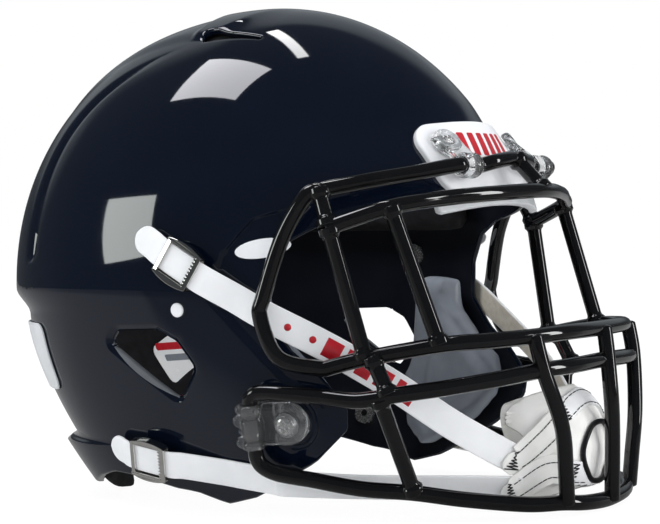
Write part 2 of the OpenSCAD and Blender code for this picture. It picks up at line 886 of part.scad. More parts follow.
// The rails bow outward between the corners
rail_bow = 1.6;
bow_r = (pow(buckle_len / 2, 2) + pow(rail_bow, 2)) / (2 * rail_bow);
module buckle_outline() {
    intersection() {
        rounded_plate(buckle_len, -buckle_w / 2, buckle_w / 2, buckle_round);
        translate([0, bow_r - buckle_w / 2]) circle(bow_r, $fn = 96);
        translate([0, buckle_w / 2 - bow_r]) circle(bow_r, $fn = 96);
    }
}
module buckle() {
    color("silver")
        union() {
            translate([0, 0, buckle_floor]) linear_extrude(buckle_plate_t) buckle_outline();
            translate([0, 0, buckle_floor])
                linear_extrude(bar_z + bar_t - buckle_floor)
                    difference() {
                        buckle_outline();
                        square([2 * buckle_len, strap_w + rail_gap], center = true);
                    }
            translate([0, 0, bar_z])
                linear_extrude(bar_t)
                    difference() {
                        buckle_outline();
                        square([buckle_len - 2 * bar_w, buckle_w], center = true);
                    }
            for (i = [0:tooth_count - 1])
                translate([-buckle_len / 2 + bar_w - tooth / 2,
                           (i - (tooth_count - 1) / 2) * strap_w / tooth_count - tooth / 2, bar_z])
                    cube([2 * tooth, tooth, bar_t]);
        }
}
module buckle_at(stud, lean) {
    on_side(stud[0], stud[1], lean) buckle();
}
socket_d = 12;
module socket_at(stud) {
    color("silver")
        on_side(stud[0], stud[1])
            translate([0, 0, 2 * seat_gap + stud_base_t])
                difference() {
                    cylinder(h = buckle_floor - 2 * seat_gap - stud_base_t, d = socket_d);
                    translate([0, 0, -1]) cylinder(h = stud_h + 2, d = stud_d + 2 * run_fit);
                }
}
module buckle_upper_right() {
    to_right() buckle_at(upper_stud, upper_lean);
}
module buckle_upper_left() {
    buckle_at(upper_stud, upper_lean);
}
module buckle_lower_right() {
    to_right() buckle_at(lower_stud, lower_lean);
}
module buckle_lower_left() {
    buckle_at(lower_stud, lower_lean);
}
module socket_upper_right() {
    to_right() socket_at(upper_stud);
}
module socket_upper_left() {
    socket_at(upper_stud);
}
module socket_lower_right() {
    to_right() socket_at(lower_stud);
}
module socket_lower_left() {
    socket_at(lower_stud);
}

// Face guard: wires swept along routes of chosen points

wire_sides = 8;
function wire_side_axis(t) = unit(cross(abs(t[2]) > 0.8 ? [0, 1, 0] : [0, 0, 1], t));
module wire(route) {
    n = len(route) - 1;
    function ring(i) =
        let (
            t = heading(route, i),
            a = wire_side_axis(t),
            b = cross(t, a)
        )
        [for (k = [0:wire_sides - 1])
            route[i] + wire_r * (cos(360 * k / wire_sides) * a + sin(360 * k / wire_sides) * b)];
    polyhedron(
        [for (i = [0:n]) each ring(i)],
        concat(
            [[for (k = [0:wire_sides - 1]) k]],
            [[for (k = [wire_sides - 1:-1:0]) n * wire_sides + k]],
            [for (i = [0:n - 1], k = [0:wire_sides - 1])
                let (
                    a = i * wire_sides + k,
                    b = i * wire_sides + (k + 1) % wire_sides
                )
                each [[a, a + wire_sides, b + wire_sides], [a, b + wire_sides, b]]]
        )
    );
}
function mirrored(p) = [-p[0], p[1], p[2]];
// A route given from the middle outward on the left becomes a route right across
function across(half_route) = concat(
    [for (i = [len(half_route) - 1:-1:1]) mirrored(half_route[i])],
    half_route
);
guard_color = "#101010";
wire_steps = 3;
front = -guard_reach;
// A point of the side wires, held off the shell
function off_side(y, z) = over_side(y, z, frame_standoff);

brow_end = [guard_half_w - 4, swing_y + 41, swing_z - 10];
// Straight run of the bar at each clip, and where its bends end
pin_half = pin_len / 2 + 1.5;
bend_half = pin_half + 4.5;
brow_points = [[0, swing_y - 6, swing_z + 3.5], [16, swing_y - 4, swing_z + 2],
               [top_clip_x - bend_half, swing_y, swing_z], [top_clip_x - pin_half, swing_y, swing_z],
               [top_clip_x + pin_half, swing_y, swing_z], [top_clip_x + bend_half, swing_y, swing_z],
               [62, swing_y + 11, swing_z - 3], [79, swing_y + 24, swing_z - 6], brow_end];
nose_end = [guard_half_w - 4, -62, 67];
side_points = [brow_end, [guard_half_w - 0.5, swing_y + 46, swing_z - 13], off_side(-43, 122),
               off_side(-36.5, 99), off_side(-35.5, 89), off_side(-44, 72), nose_end];
// The upper bar stands ahead of the brow bar
upper_y = swing_y - 19.8;
eye_outer_top = [guard_half_w, upper_y + 54, 128];
eye_inner_top = [guard_half_w - 13.5, upper_y + 31, 136];
upper_points = [[0, upper_y, 142.5], [30, upper_y + 6.5, 141.5], [60, upper_y + 18.5, 139.5],
                eye_inner_top, eye_outer_top];
nose_front = [50, front + 10, 79];
eye_inner_low = [81, -111, 77];
eye_outer_low = [91, -80, 71.5];
nose_points = [[0, front, 80], [28, front + 2, 80], nose_front, [68, -128, 78.3], eye_inner_low,
               eye_outer_low, nose_end];
mouth_front = [48.5, front + 7, 64.3];
cheek_low = [92.2, -92, 55.9];
jaw_top = [93.3, -88, 55];
// Ends of the bars beside the jaw flaps, off the shell's side
function beside(y, z, gap) = [side_x(y, z) + gap, y, z];
mouth_end = beside(-63, 55.2, 6);
mouth_points = [[0, front - 1.5, 66], [28, front, 65.4], mouth_front, [66, -131, 62], [80, -114, 59],
                [87, -103, 57.4], cheek_low, jaw_top, [96.5, -78, 53.9], mouth_end];
// The wire loop that each side clip holds, laid along the shell at the clip
clip_axes = seat_axes(side_normal(side_screw[0], side_screw[1]), 0);
// The lower strap passes under that loop
clip_wire_w = strap_lie + strap_t / 2 + 2 * seat_gap + wire_r;
function clip_point(along, up, out) =
    seat_point(side_point(side_screw[0], side_screw[1]), clip_axes, [along, up, out]);
chin_end = beside(-51, 18.6, 6.5);
clip_half = side_clip_h / 2;
loop_points = [mouth_end, clip_point(side_clip_reach - 18, clip_half + 5, clip_wire_w),
               clip_point(side_clip_reach - 6, clip_half + 5.4, clip_wire_w),
               clip_point(side_clip_reach - 1.4, clip_half + 3.4, clip_wire_w),
               clip_point(side_clip_reach, clip_half, clip_wire_w),
               clip_point(side_clip_reach, 0, clip_wire_w),
               clip_point(side_clip_reach, -clip_half, clip_wire_w),
               clip_point(side_clip_reach - 0.4, -clip_half - 5, clip_wire_w),
               clip_point(side_clip_reach - 3, -clip_half - 9, clip_wire_w),
               clip_point(side_clip_reach - 10, -clip_half - 12, clip_wire_w), chin_end];
chin_front = [34, front + 4, 5.8];
jaw_low = [74, -93, 12.4];
chin_points = [[0, front - 2.2, wire_r], [20, front - 1, 4.4], chin_front, [48, -134, 6.4], [62, -112, 9],
               jaw_low, [83.5, -72, 14.3], chin_end];

module guard_wire(points) {
    color(guard_color) wire(curve(points, wire_steps));
}
// A straight bar between two points
module guard_rod(a, b) {
    color(guard_color)
        at_seat(a, seat_axes(unit(b - a), 0))
            cylinder(h = norm(b - a), r = wire_r);
}
module brow_bar() {
    color(guard_color) {
        wire(curve(across(brow_points), wire_steps));
        both() at_top_loop() cylinder(h = pin_len, r = pin_r, center = true);
    }
}
module upper_bar() {
    guard_wire(across(upper_points));
}
module nose_bar() {
    guard_wire(across(nose_points));
}
module mouth_bar() {
    guard_wire(across(mouth_points));
}
module chin_bar() {
    guard_wire(across(chin_points));
}
module side_frames() {
    both() guard_wire(side_points);
}
module clip_loops() {
    both() guard_wire(loop_points);
}
module temple_struts() {
    both() guard_rod(brow_end, eye_outer_top);
}
module brow_strut() {
    guard_rod(brow_points[0], upper_points[0]);
}
module eye_bars() {
    both() {
        guard_rod(eye_outer_top, eye_outer_low);
        guard_rod(eye_inner_top, eye_inner_low);
    }
}
module cheek_struts() {
    both() guard_rod(eye_outer_low + [0.5, -4, 0.3], cheek_low);
}
module jaw_bars() {
    both() guard_rod(jaw_top, jaw_low);
}
// The upright bars are welded to the outside of the level ones
bar_step = 2.2;
function ahead(p) = p - [0, bar_step, 0];
upright_mid = [for (p = [nose_points[0], mouth_points[0], [0, front - 3, 40], chin_points[0]]) ahead(p)];
upright_side = [
    for (p = [nose_front, mouth_front, [40, front + 3, 40], [36, front + 3.4, 19], chin_front]) ahead(p)
];
module front_bars() {
    guard_wire(upright_mid);
    both() guard_wire(upright_side);
}

// Side clips: a plate on the shell with a loop round the wire

module at_clip() {
    on_side(side_screw[0], side_screw[1]) children();
}
module side_clip() {
    color("gainsboro", 0.6)
        at_clip()
            difference() {
                union() {
                    translate([0, 0, seat_gap]) cylinder(h = side_clip_t, d = side_clip_h);
                    translate([0, -side_clip_h / 2, seat_gap])
                        cube([side_clip_reach, side_clip_h, side_clip_t]);
                    translate([side_clip_reach, side_clip_h / 2, clip_wire_w])
                        rotate([90, 0, 0]) cylinder(h = side_clip_h, r = wire_r + clip_wall);
                }
                translate([side_clip_reach, side_clip_h, clip_wire_w])
                    rotate([90, 0, 0]) cylinder(h = 2 * side_clip_h, r = wire_r + hole_fit);
                translate([0, 0, -1]) cylinder(h = 20, d = screw_d + 2 * hole_fit);
            }
}
module side_clip_right() {
    to_right() side_clip();
}
module side_clip_left() {
    side_clip();
}
washer_t = 1;
module side_clip_screws() {
    color("silver")
        both()
            at_clip()
                screw(2 * seat_gap + side_clip_t + washer_t, -seat_gap);
}
module side_clip_washers() {
    color("whitesmoke")
        both()
            at_clip()
                translate([0, 0, seat_gap + side_clip_t])
                    difference() {
                        cylinder(h = washer_t, d = screw_head_d + 3);
                        translate([0, 0, -1]) cylinder(h = washer_t + 2, d = screw_d + 2 * hole_fit);
                    }
}

shell();
front_bumper();
rear_bumper();
hole_plugs();
top_clip_right();
top_clip_left();
top_clip_screws();
top_clip_nuts();
side_clip_nuts();
snap_studs();
stud_nuts();
brow_pad();
crown_pad();
side_pad_right();
side_pad_left();
rear_pad();
neck_pad();
jaw_pad_right();
jaw_pad_left();
jaw_pad_snaps();
chin_cup();
chin_cup_lining();
strap_upper_right();
strap_upper_left();
strap_lower_right();
strap_lower_left();
brow_bar();
upper_bar();
nose_bar();
mouth_bar();
chin_bar();
side_frames();
clip_loops();
temple_struts();
brow_strut();
eye_bars();
cheek_struts();
jaw_bars();
front_bars();
side_clip_right();
side_clip_left();
side_clip_screws();
side_clip_washers();
buckle_upper_right();
buckle_upper_left();
buckle_lower_right();
buckle_lower_left();
socket_upper_right();
socket_upper_left();
socket_lower_right();
socket_lower_left();
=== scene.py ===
import math

import bpy
import numpy as np
from mathutils import Matrix, Vector


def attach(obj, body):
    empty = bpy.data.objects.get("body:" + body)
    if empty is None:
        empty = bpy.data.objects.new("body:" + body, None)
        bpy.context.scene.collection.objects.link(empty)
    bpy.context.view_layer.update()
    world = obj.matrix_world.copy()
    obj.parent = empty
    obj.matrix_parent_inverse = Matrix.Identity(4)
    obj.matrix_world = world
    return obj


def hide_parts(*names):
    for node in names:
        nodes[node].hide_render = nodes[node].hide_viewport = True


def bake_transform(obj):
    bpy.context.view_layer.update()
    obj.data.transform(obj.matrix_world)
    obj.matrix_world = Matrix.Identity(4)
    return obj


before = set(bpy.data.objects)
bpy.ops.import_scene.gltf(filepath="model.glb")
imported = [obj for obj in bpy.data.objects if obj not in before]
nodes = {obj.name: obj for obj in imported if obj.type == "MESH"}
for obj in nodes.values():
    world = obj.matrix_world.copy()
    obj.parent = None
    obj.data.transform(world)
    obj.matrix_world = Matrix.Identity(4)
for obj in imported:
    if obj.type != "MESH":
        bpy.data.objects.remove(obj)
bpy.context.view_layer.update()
scene = bpy.context.scene
scene.view_settings.view_transform = "Standard"
MM = 0.001


# Camera: the photograph's viewpoint, in millimetres of the shared frame

CAM_AT = (-805.04, -507.68, 130.13)
CAM_RIGHT = (0.52771264, -0.84913188, -0.0222353)
CAM_UP = (0.0290607, -0.00811356, 0.99954472)
CAM_BACK = (-0.8489257, -0.52811856, 0.02039474)
FOCAL_PX = 1949.8
FRAME_PX = 660
cam_data = bpy.data.cameras.new("camera")
cam_data.sensor_width = 36
cam_data.lens = FOCAL_PX * cam_data.sensor_width / FRAME_PX
cam = bpy.data.objects.new("camera", cam_data)
cam.matrix_world = Matrix([
    [CAM_RIGHT[i], CAM_UP[i], CAM_BACK[i], CAM_AT[i] * MM] for i in range(3)
] + [[0, 0, 0, 1]])
scene.collection.objects.link(cam)
scene.camera = cam


# Materials

RAMP_ENDS = (0.3, 0.7)


def feed(tree, node, *inputs, **values):
    """Sets inputs by place or name, to a value or a socket to link, and properties by name."""
    for key, value in [*enumerate(inputs), *values.items()]:
        spot = key if isinstance(key, int) else key.replace("_", " ")
        if isinstance(spot, str) and spot not in node.inputs:
            setattr(node, key, value)
        elif isinstance(value, bpy.types.NodeSocket):
            tree.links.new(value, node.inputs[spot])
        else:
            node.inputs[spot].default_value = value
    return node


def add(tree, kind, *inputs, **values):
    return feed(tree, tree.nodes.new(kind), *inputs, **values)


def finish_of(name, dark, light, rough, tone=60, grain=900, grain_mm=0.02, cells=False, **sockets):
    """A surface with drifting colour, uneven roughness and a fine relief."""
    mat = bpy.data.materials.new(name)
    mat.use_nodes = True
    tree = mat.node_tree
    place = add(tree, "ShaderNodeTexCoord").outputs["Object"]
    drift = add(tree, "ShaderNodeTexNoise", Vector=place, Scale=tone, Detail=4.0)
    color = add(tree, "ShaderNodeValToRGB", drift.outputs["Fac"])
    for stop, at, shade in zip(color.color_ramp.elements, RAMP_ENDS, (dark, light)):
        stop.position = at
        stop.color = (*shade, 1)
    smear = add(tree, "ShaderNodeTexNoise", Vector=place, Scale=tone * 3, Detail=3.0)
    spread = add(tree, "ShaderNodeMapRange", smear.outputs["Fac"], To_Min=rough[0], To_Max=rough[1])
    if cells:
        relief = add(tree, "ShaderNodeTexVoronoi", Vector=place, Scale=grain, feature="SMOOTH_F1")
    else:
        relief = add(tree, "ShaderNodeTexNoise", Vector=place, Scale=grain, Detail=5.0)
    height = relief.outputs["Distance" if cells else "Fac"]
    bump = add(tree, "ShaderNodeBump", Height=height, Strength=1.0, Distance=grain_mm * MM)
    feed(tree, tree.nodes["Principled BSDF"], Base_Color=color.outputs["Color"],
         Roughness=spread.outputs["Result"], Normal=bump.outputs["Normal"], **sockets)
    return mat


SHELL = finish_of("shell_gloss", (0.0016, 0.0036, 0.0095), (0.0022, 0.0046, 0.0115), (0.03, 0.06),
                  tone=25, grain=110, grain_mm=0.003, Coat_Weight=0.4, Coat_Roughness=0.02)
SHELL_IN = finish_of("shell_inside", (0.004, 0.005, 0.009), (0.007, 0.008, 0.013), (0.35, 0.5), grain=500)
# Lighter matt grey for the ear hole's lower edge: the bare cut edge's colour, with painted light for the
# light it catches there
SHELL_EDGE_AND_PAINTED_LIGHT = finish_of("shell_cut_edge_and_painted_light", (0.1, 0.11, 0.12), (0.14, 0.15, 0.165), (0.4, 0.5), grain=700,
                       grain_mm=0.01)
GUARD = finish_of("guard_vinyl", (0.0025, 0.0025, 0.0028), (0.004, 0.004, 0.0045), (0.04, 0.09),
                  tone=40, grain=240, grain_mm=0.006, Coat_Weight=0.5, Coat_Roughness=0.03)
WHITE = finish_of("white_plastic", (0.74, 0.75, 0.77), (0.82, 0.82, 0.83), (0.3, 0.4), grain=700,
                  grain_mm=0.006)
GREY = finish_of("grey_plastic", (0.58, 0.59, 0.6), (0.68, 0.69, 0.7), (0.35, 0.5), grain=800,
                 grain_mm=0.01)
LABEL = finish_of("label_film", (0.8, 0.81, 0.83), (0.86, 0.87, 0.88), (0.22, 0.3), grain=1200,
                  grain_mm=0.002)
RED = finish_of("red_print", (0.42, 0.006, 0.016), (0.52, 0.01, 0.022), (0.35, 0.45), tone=400, grain=1500,
                grain_mm=0.004)
STRAP = finish_of("strap_vinyl", (0.76, 0.765, 0.775), (0.84, 0.845, 0.85), (0.36, 0.5), tone=45, grain=2600,
                  grain_mm=0.012)
STRAP_BACK = finish_of("strap_backing", (0.5, 0.465, 0.4), (0.62, 0.585, 0.51), (0.75, 0.9), tone=300,
                       grain=2200, grain_mm=0.06)
NICKEL = finish_of("nickel", (0.62, 0.61, 0.58), (0.72, 0.71, 0.68), (0.06, 0.13), tone=200, grain=900,
                   grain_mm=0.002, Metallic=1.0)
STEEL = finish_of("steel", (0.7, 0.7, 0.7), (0.8, 0.8, 0.8), (0.22, 0.32), tone=300, grain=1200,
                  grain_mm=0.005, Metallic=0.9)
CLEAR = finish_of("clear_plastic", (0.9, 0.92, 0.93), (0.96, 0.97, 0.98), (0.02, 0.06), tone=160, grain=260,
                  grain_mm=0.04, Transmission_Weight=0.97, IOR=1.49)
LEATHER = finish_of("cup_leather", (0.76, 0.755, 0.72), (0.85, 0.845, 0.82), (0.5, 0.65), tone=70, grain=1300,
                    grain_mm=0.05, cells=True)
LINING = finish_of("cup_lining", (0.6, 0.59, 0.55), (0.7, 0.69, 0.65), (0.85, 0.95), tone=200, grain=2500,
                   grain_mm=0.08, Sheen_Weight=0.3)
FOAM = finish_of("black_foam", (0.006, 0.006, 0.007), (0.014, 0.014, 0.016), (0.75, 0.9), tone=200,
                 grain=1600, grain_mm=0.12, cells=True)
VINYL = finish_of("grey_vinyl", (0.17, 0.19, 0.225), (0.215, 0.235, 0.27), (0.2, 0.3), tone=60, grain=1500,
                  grain_mm=0.03, cells=True)
PIPING = finish_of("black_piping", (0.004, 0.004, 0.005), (0.009, 0.009, 0.01), (0.35, 0.5), tone=400,
                   grain=2000, grain_mm=0.03)
THREAD = finish_of("black_thread", (0.008, 0.008, 0.009), (0.02, 0.02, 0.022), (0.6, 0.8), tone=900,
                   grain=6000, grain_mm=0.03)


# Pieces

SIDES = (("left", 1), ("right", -1))


def settle(made, body, replaces):
    if body:
        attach(made, body)
    if replaces:
        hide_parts(*replaces)
    return made


def mesh_piece(name, shape, mats, body, replaces=(), normals=None, mat_index=None):
    """A smooth mesh from a shape, its points in millimetres and its faces, riding on a body."""
    mesh = bpy.data.meshes.new(name)
    mesh.from_pydata((np.asarray(shape[0], float) * MM).tolist(), [], [list(map(int, f)) for f in shape[1]])
    for m in mats if isinstance(mats, list) else [mats]:
        mesh.materials.append(m)
    mesh.polygons.foreach_set("use_smooth", np.ones(len(mesh.polygons), bool))
    if mat_index is not None:
        mesh.polygons.foreach_set("material_index", np.asarray(mat_index, np.int32))
    mesh.validate()
    mesh.update()
    if normals is not None:
        mesh.normals_split_custom_set_from_vertices(np.asarray(normals, float).tolist())
    made = bpy.data.objects.new(name, mesh)
    scene.collection.objects.link(made)
    return settle(made, body, replaces)


def unit(v):
    v = np.asarray(v, float)
    return v / np.maximum(np.linalg.norm(v, axis=-1, keepdims=True), 1e-12)


def mirrored(points):
    return np.asarray(points, float) * [-1, 1, 1]


def flipped(faces):
    return [list(f)[::-1] for f in faces]


def on_side(shape, sign):
    """A shape of the left side, or its mirror image for the right."""
    return shape if sign > 0 else (mirrored(shape[0]), flipped(shape[1]))


def joined(parts):
    pts, fcs, count = [], [], 0
    for p, f in parts:
        pts.append(np.asarray(p, float))
        fcs += [tuple(int(i) + count for i in face) for face in f]
        count += len(p)
    return np.vstack(pts), fcs


def both_sides(*parts):
    """The parts of the left side and their mirror images."""
    return joined([*parts, *[on_side(part, -1) for part in parts]])


def loft(rings, loop=False, caps=True):
    """A skin over rings of points, in a loop or with a cap at each end."""
    n, m = len(rings), len(rings[0])
    turns = [(k, (k + 1) % m) for k in range(m)]
    rows = [(i * m, (i + 1) % n * m) for i in range(n if loop else n - 1)]
    fcs = [(a + k, a + j, b + j, b + k) for a, b in rows for k, j in turns]
    if caps and not loop:
        fcs += [tuple(range(m))[::-1], tuple((n - 1) * m + k for k in range(m))]
    return np.reshape(rings, (-1, 3)), fcs


# The shell's surface, the same form as the solid's

SHELL_W, WALL = 215, 3.6
EQUATOR, RISE = 100, 133
FRONT_LEN, REAR_LEN, MID_Y = 128.5, 134.8, 22
SIDE_POWER, FRONT_POWER, REAR_POWER = 1.95, 2, 2.15
PLAN_FRONT_POWER, PLAN_REAR_GAIN, PLAN_BLEND = 1.9, 0.3, 60
SIDE_TUCK, SIDE_TUCK_POWER = 21.8, 1.7
REAR_TUCK, REAR_TUCK_POWER = 54, 1.6
JAW_LEN, JAW_BLEND = 54, 55
BROW_FLARE, BROW_TOP, BROW_H, BROW_GAIN = 1.2, 178, 32, 0.3
OVERHANG, OVERHANG_TOP, OVERHANG_H = 10, 101, 12
OVERHANG_FOOT = OVERHANG_TOP - OVERHANG_H
NECK_LIP, NECK_LIP_Z, NECK_LIP_H = 12, 31, 4
CROWN_BAND_H, CROWN_BAND_HALF, CROWN_BAND_EDGE = 2.4, 42, 9
CROWN_BAND_FRONT_Z, CROWN_BAND_REAR_Z, CROWN_BAND_FADE = 168, 100, 18
VENT_X, VENT_FRONT, VENT_REAR = 46, 0.5, 29.5


def smooth(t):
    c = np.clip(t, 0, 1)
    return c * c * (3 - 2 * c)


def rounded(u, power):
    return (1 - np.clip(u, 0, 1) ** power) ** (1 / power)


def below(z):
    return np.maximum(0, EQUATOR - z)


def rise_share(z, inset):
    return (z - EQUATOR) / (RISE - inset)


def half_w(z, inset):
    return ((SHELL_W / 2 - inset) * rounded(rise_share(z, inset), SIDE_POWER)
            - SIDE_TUCK * (below(z) / EQUATOR) ** SIDE_TUCK_POWER)


def brow_share(z):
    return smooth((BROW_TOP - z) / BROW_H)


def front_reach(z, inset):
    return ((FRONT_LEN - inset) * rounded(rise_share(z, inset), FRONT_POWER)
            + JAW_LEN * smooth(below(z) / JAW_BLEND) + BROW_FLARE * brow_share(z))


def rear_reach(z, inset):
    return ((REAR_LEN - inset) * rounded(rise_share(z, inset), REAR_POWER)
            - OVERHANG * smooth((OVERHANG_TOP - z) / OVERHANG_H)
            - REAR_TUCK * (np.maximum(0, OVERHANG_FOOT - z) / OVERHANG_FOOT) ** REAR_TUCK_POWER
            + NECK_LIP * smooth((NECK_LIP_Z - z) / NECK_LIP_H))


def front_power(z):
    return PLAN_FRONT_POWER + BROW_GAIN * brow_share(z)


def plan_power(y, z):
    front = (front_power(z) - 2) * smooth((MID_Y - y) / PLAN_BLEND)
    return 2 + front + PLAN_REAR_GAIN * smooth((y - MID_Y) / PLAN_BLEND)


def band(x, y, z):
    """How high the crown's raised band stands over the plain dome."""
    ahead = smooth((VENT_REAR - y) / (VENT_REAR - VENT_FRONT))
    at_vent = smooth((50 - y) / 20)
    half = CROWN_BAND_HALF + 4 * at_vent - 20 * ahead
    edge = CROWN_BAND_EDGE - 4 * at_vent + 53 * ahead
    across = smooth((half - np.abs(x)) / edge + 0.5)
    tail = 1 - 0.55 * smooth((y - 37) / 5)
    foot = np.where(y < MID_Y, CROWN_BAND_FRONT_Z, CROWN_BAND_REAR_Z)
    return CROWN_BAND_H * across * tail * smooth((z - foot) / CROWN_BAND_FADE)


def skin(level, angle, inset):
    """Points of the shell. Level: -1 at the floor, 0 at the widest level, 1 at the crown. Angle: 0 at the
    face, 90 at the wearer's left, in degrees."""
    level, angle, inset = np.broadcast_arrays(*(np.asarray(v, float) for v in (level, angle, inset)))
    z = np.where(level < 0, EQUATOR * (1 + level), EQUATOR + (RISE - inset) * np.sin(np.pi / 2 * level))
    a = np.radians(angle)
    forward = np.cos(a) > 0
    share = 2 / np.where(forward, front_power(z), 2 + PLAN_REAR_GAIN)
    reach = np.where(forward, front_reach(z, inset), rear_reach(z, inset))
    along = np.abs(np.cos(a)) ** share
    y = MID_Y - np.sign(np.cos(a)) * reach * along
    x = half_w(z, inset) * np.sign(np.sin(a)) * rounded(along, plan_power(y, z))
    p = np.stack([x, y, z], -1)
    out = p - [0, MID_Y, EQUATOR]
    return p + unit(out) * band(x, y, z)[..., None]


def z_level(z):
    return z / EQUATOR - 1 if z < EQUATOR else math.asin((z - EQUATOR) / RISE) * 2 / math.pi


def side_x(y, z):
    reach = front_reach(z, 0) if y < MID_Y else rear_reach(z, 0)
    return float(half_w(z, 0) * rounded(abs(y - MID_Y) / reach, plan_power(y, z)))


def side_point(y, z):
    return np.array([side_x(y, z), y, z])


def slopes(surface, a, b, e=0.5):
    """How fast a surface rises along each of its two values."""
    first, second = surface(a + e, b) - surface(a - e, b), surface(a, b + e) - surface(a, b - e)
    return first / (2 * e), second / (2 * e)


def side_normal(y, z):
    along, up = slopes(side_x, y, z)
    return unit([1, -along, -up])


def front_y(x, z):
    return float(MID_Y - front_reach(z, 0) * rounded(abs(x) / half_w(z, 0), front_power(z)))


def front_normal(x, z):
    along, up = slopes(front_y, x, z)
    return unit([along, -1, up])


def seat_axes(out, lean=0.0):
    """Axes of a seat on the surface: along (backward), up and out."""
    up = unit(np.array([0, 0, 1]) - out * out[2])
    back = np.cross(up, out)
    c, s = math.cos(math.radians(lean)), math.sin(math.radians(lean))
    return np.array([back * c + up * s, up * c - back * s, out])


def on_seat(points, origin, axes):
    return np.asarray(origin) + np.asarray(points, float) @ np.asarray(axes)


def seated(shape, origin, axes):
    return on_seat(shape[0], origin, axes), shape[1]


def side_seat(spot, lean=0.0):
    return side_point(*spot), seat_axes(side_normal(*spot), lean)


# Cutting sheets along lines

def filleted(corners, r, steps=6):
    """A closed outline with each corner rounded."""
    p = np.asarray(corners, float)
    out = []
    for i in range(len(p)):
        a, b, c = p[i - 1], p[i], p[(i + 1) % len(p)]
        u, v = unit(a - b), unit(c - b)
        turn = math.acos(max(-1.0, min(1.0, float(u @ v))))
        if turn > math.pi - 1e-3:
            out.append(b)
            continue
        cut = min(r / math.tan(turn / 2), 0.48 * np.linalg.norm(a - b), 0.48 * np.linalg.norm(c - b))
        s, e = b + u * cut, b + v * cut
        for k in range(steps + 1):
            t = k / steps
            out.append(s * (1 - t) ** 2 + b * 2 * t * (1 - t) + e * t * t)
    return np.array(out)


def outline_d(outline, points):
    """Distance inside a closed outline of (y, z), as seen from the side."""
    p = points[:, 1:]
    best = np.full(len(p), 1e9)
    inside = np.zeros(len(p), bool)
    for s, e in zip(outline, np.roll(outline, -1, 0)):
        d = e - s
        t = np.clip(((p - s) @ d) / max(d @ d, 1e-12), 0, 1)
        best = np.minimum(best, np.sum((p - s - t[:, None] * d) ** 2, 1))
        cross = (s[1] > p[:, 1]) != (e[1] > p[:, 1])
        if s[1] != e[1]:
            inside ^= cross & (p[:, 0] < (e[0] - s[0]) * (p[:, 1] - s[1]) / (e[1] - s[1]) + s[0])
    return np.where(inside, 1, -1) * np.sqrt(best)


def rounded_box_d(p, q, w, h, r):
    """Distance inside a rounded rectangle, w and h being half sizes."""
    a, b = np.abs(p) - (w - r), np.abs(q) - (h - r)
    return r - np.hypot(np.maximum(a, 0), np.maximum(b, 0)) - np.minimum(np.maximum(a, b), 0)


def split(uv, tris, d):
    """Cuts triangles where the values d at their corners change sign."""
    d = np.where(np.abs(d) < 0.05, 0, d)
    sign = np.sign(d)
    s = sign[tris]
    crossed = (s.min(1) < 0) & (s.max(1) > 0)
    fresh, made, out = [], {}, []

    def between(a, b):
        key = (min(a, b), max(a, b))
        if key not in made:
            a, b = key
            made[key] = len(uv) + len(fresh)
            fresh.append(uv[a] + (uv[b] - uv[a]) * (d[a] / (d[a] - d[b])))
        return made[key]

    for a, b, c in tris[crossed]:
        while sign[a] != 0 and 0 in (sign[b], sign[c]) or sign[a] != 0 and sign[b] != sign[c]:
            a, b, c = b, c, a
        if sign[a] == 0:
            m = between(b, c)
            out += [(a, b, m), (a, m, c)]
        else:
            m, n = between(a, b), between(c, a)
            out += [(a, m, n), (m, b, c), (m, c, n)]
    if not out:
        return uv, tris
    return np.vstack([uv, fresh]), np.vstack([tris[~crossed], out])


def grid(us, vs):
    """A sheet over two lists of values, its squares cut along alternating diagonals."""
    uv = np.array([(u, v) for u in us for v in vs], float)
    n = len(vs)
    tris = []
    for r in range(len(us) - 1):
        for c in range(n - 1):
            a, b, d, e = r * n + c, r * n + c + 1, (r + 1) * n + c, (r + 1) * n + c + 1
            tris += [(a, b, e), (a, e, d)] if (r + c) % 2 else [(a, b, d), (b, e, d)]
    return uv, np.array(tris)


def at_inset(inset):
    """The surface at an inset from the shell's outside."""
    return lambda q: skin(q[:, 0], q[:, 1], inset)


def shell_grid(z_range, angle_range, step):
    return grid(np.linspace(*map(z_level, z_range), step[0]), np.linspace(*angle_range, step[1]))


RIM_STEPS = 4


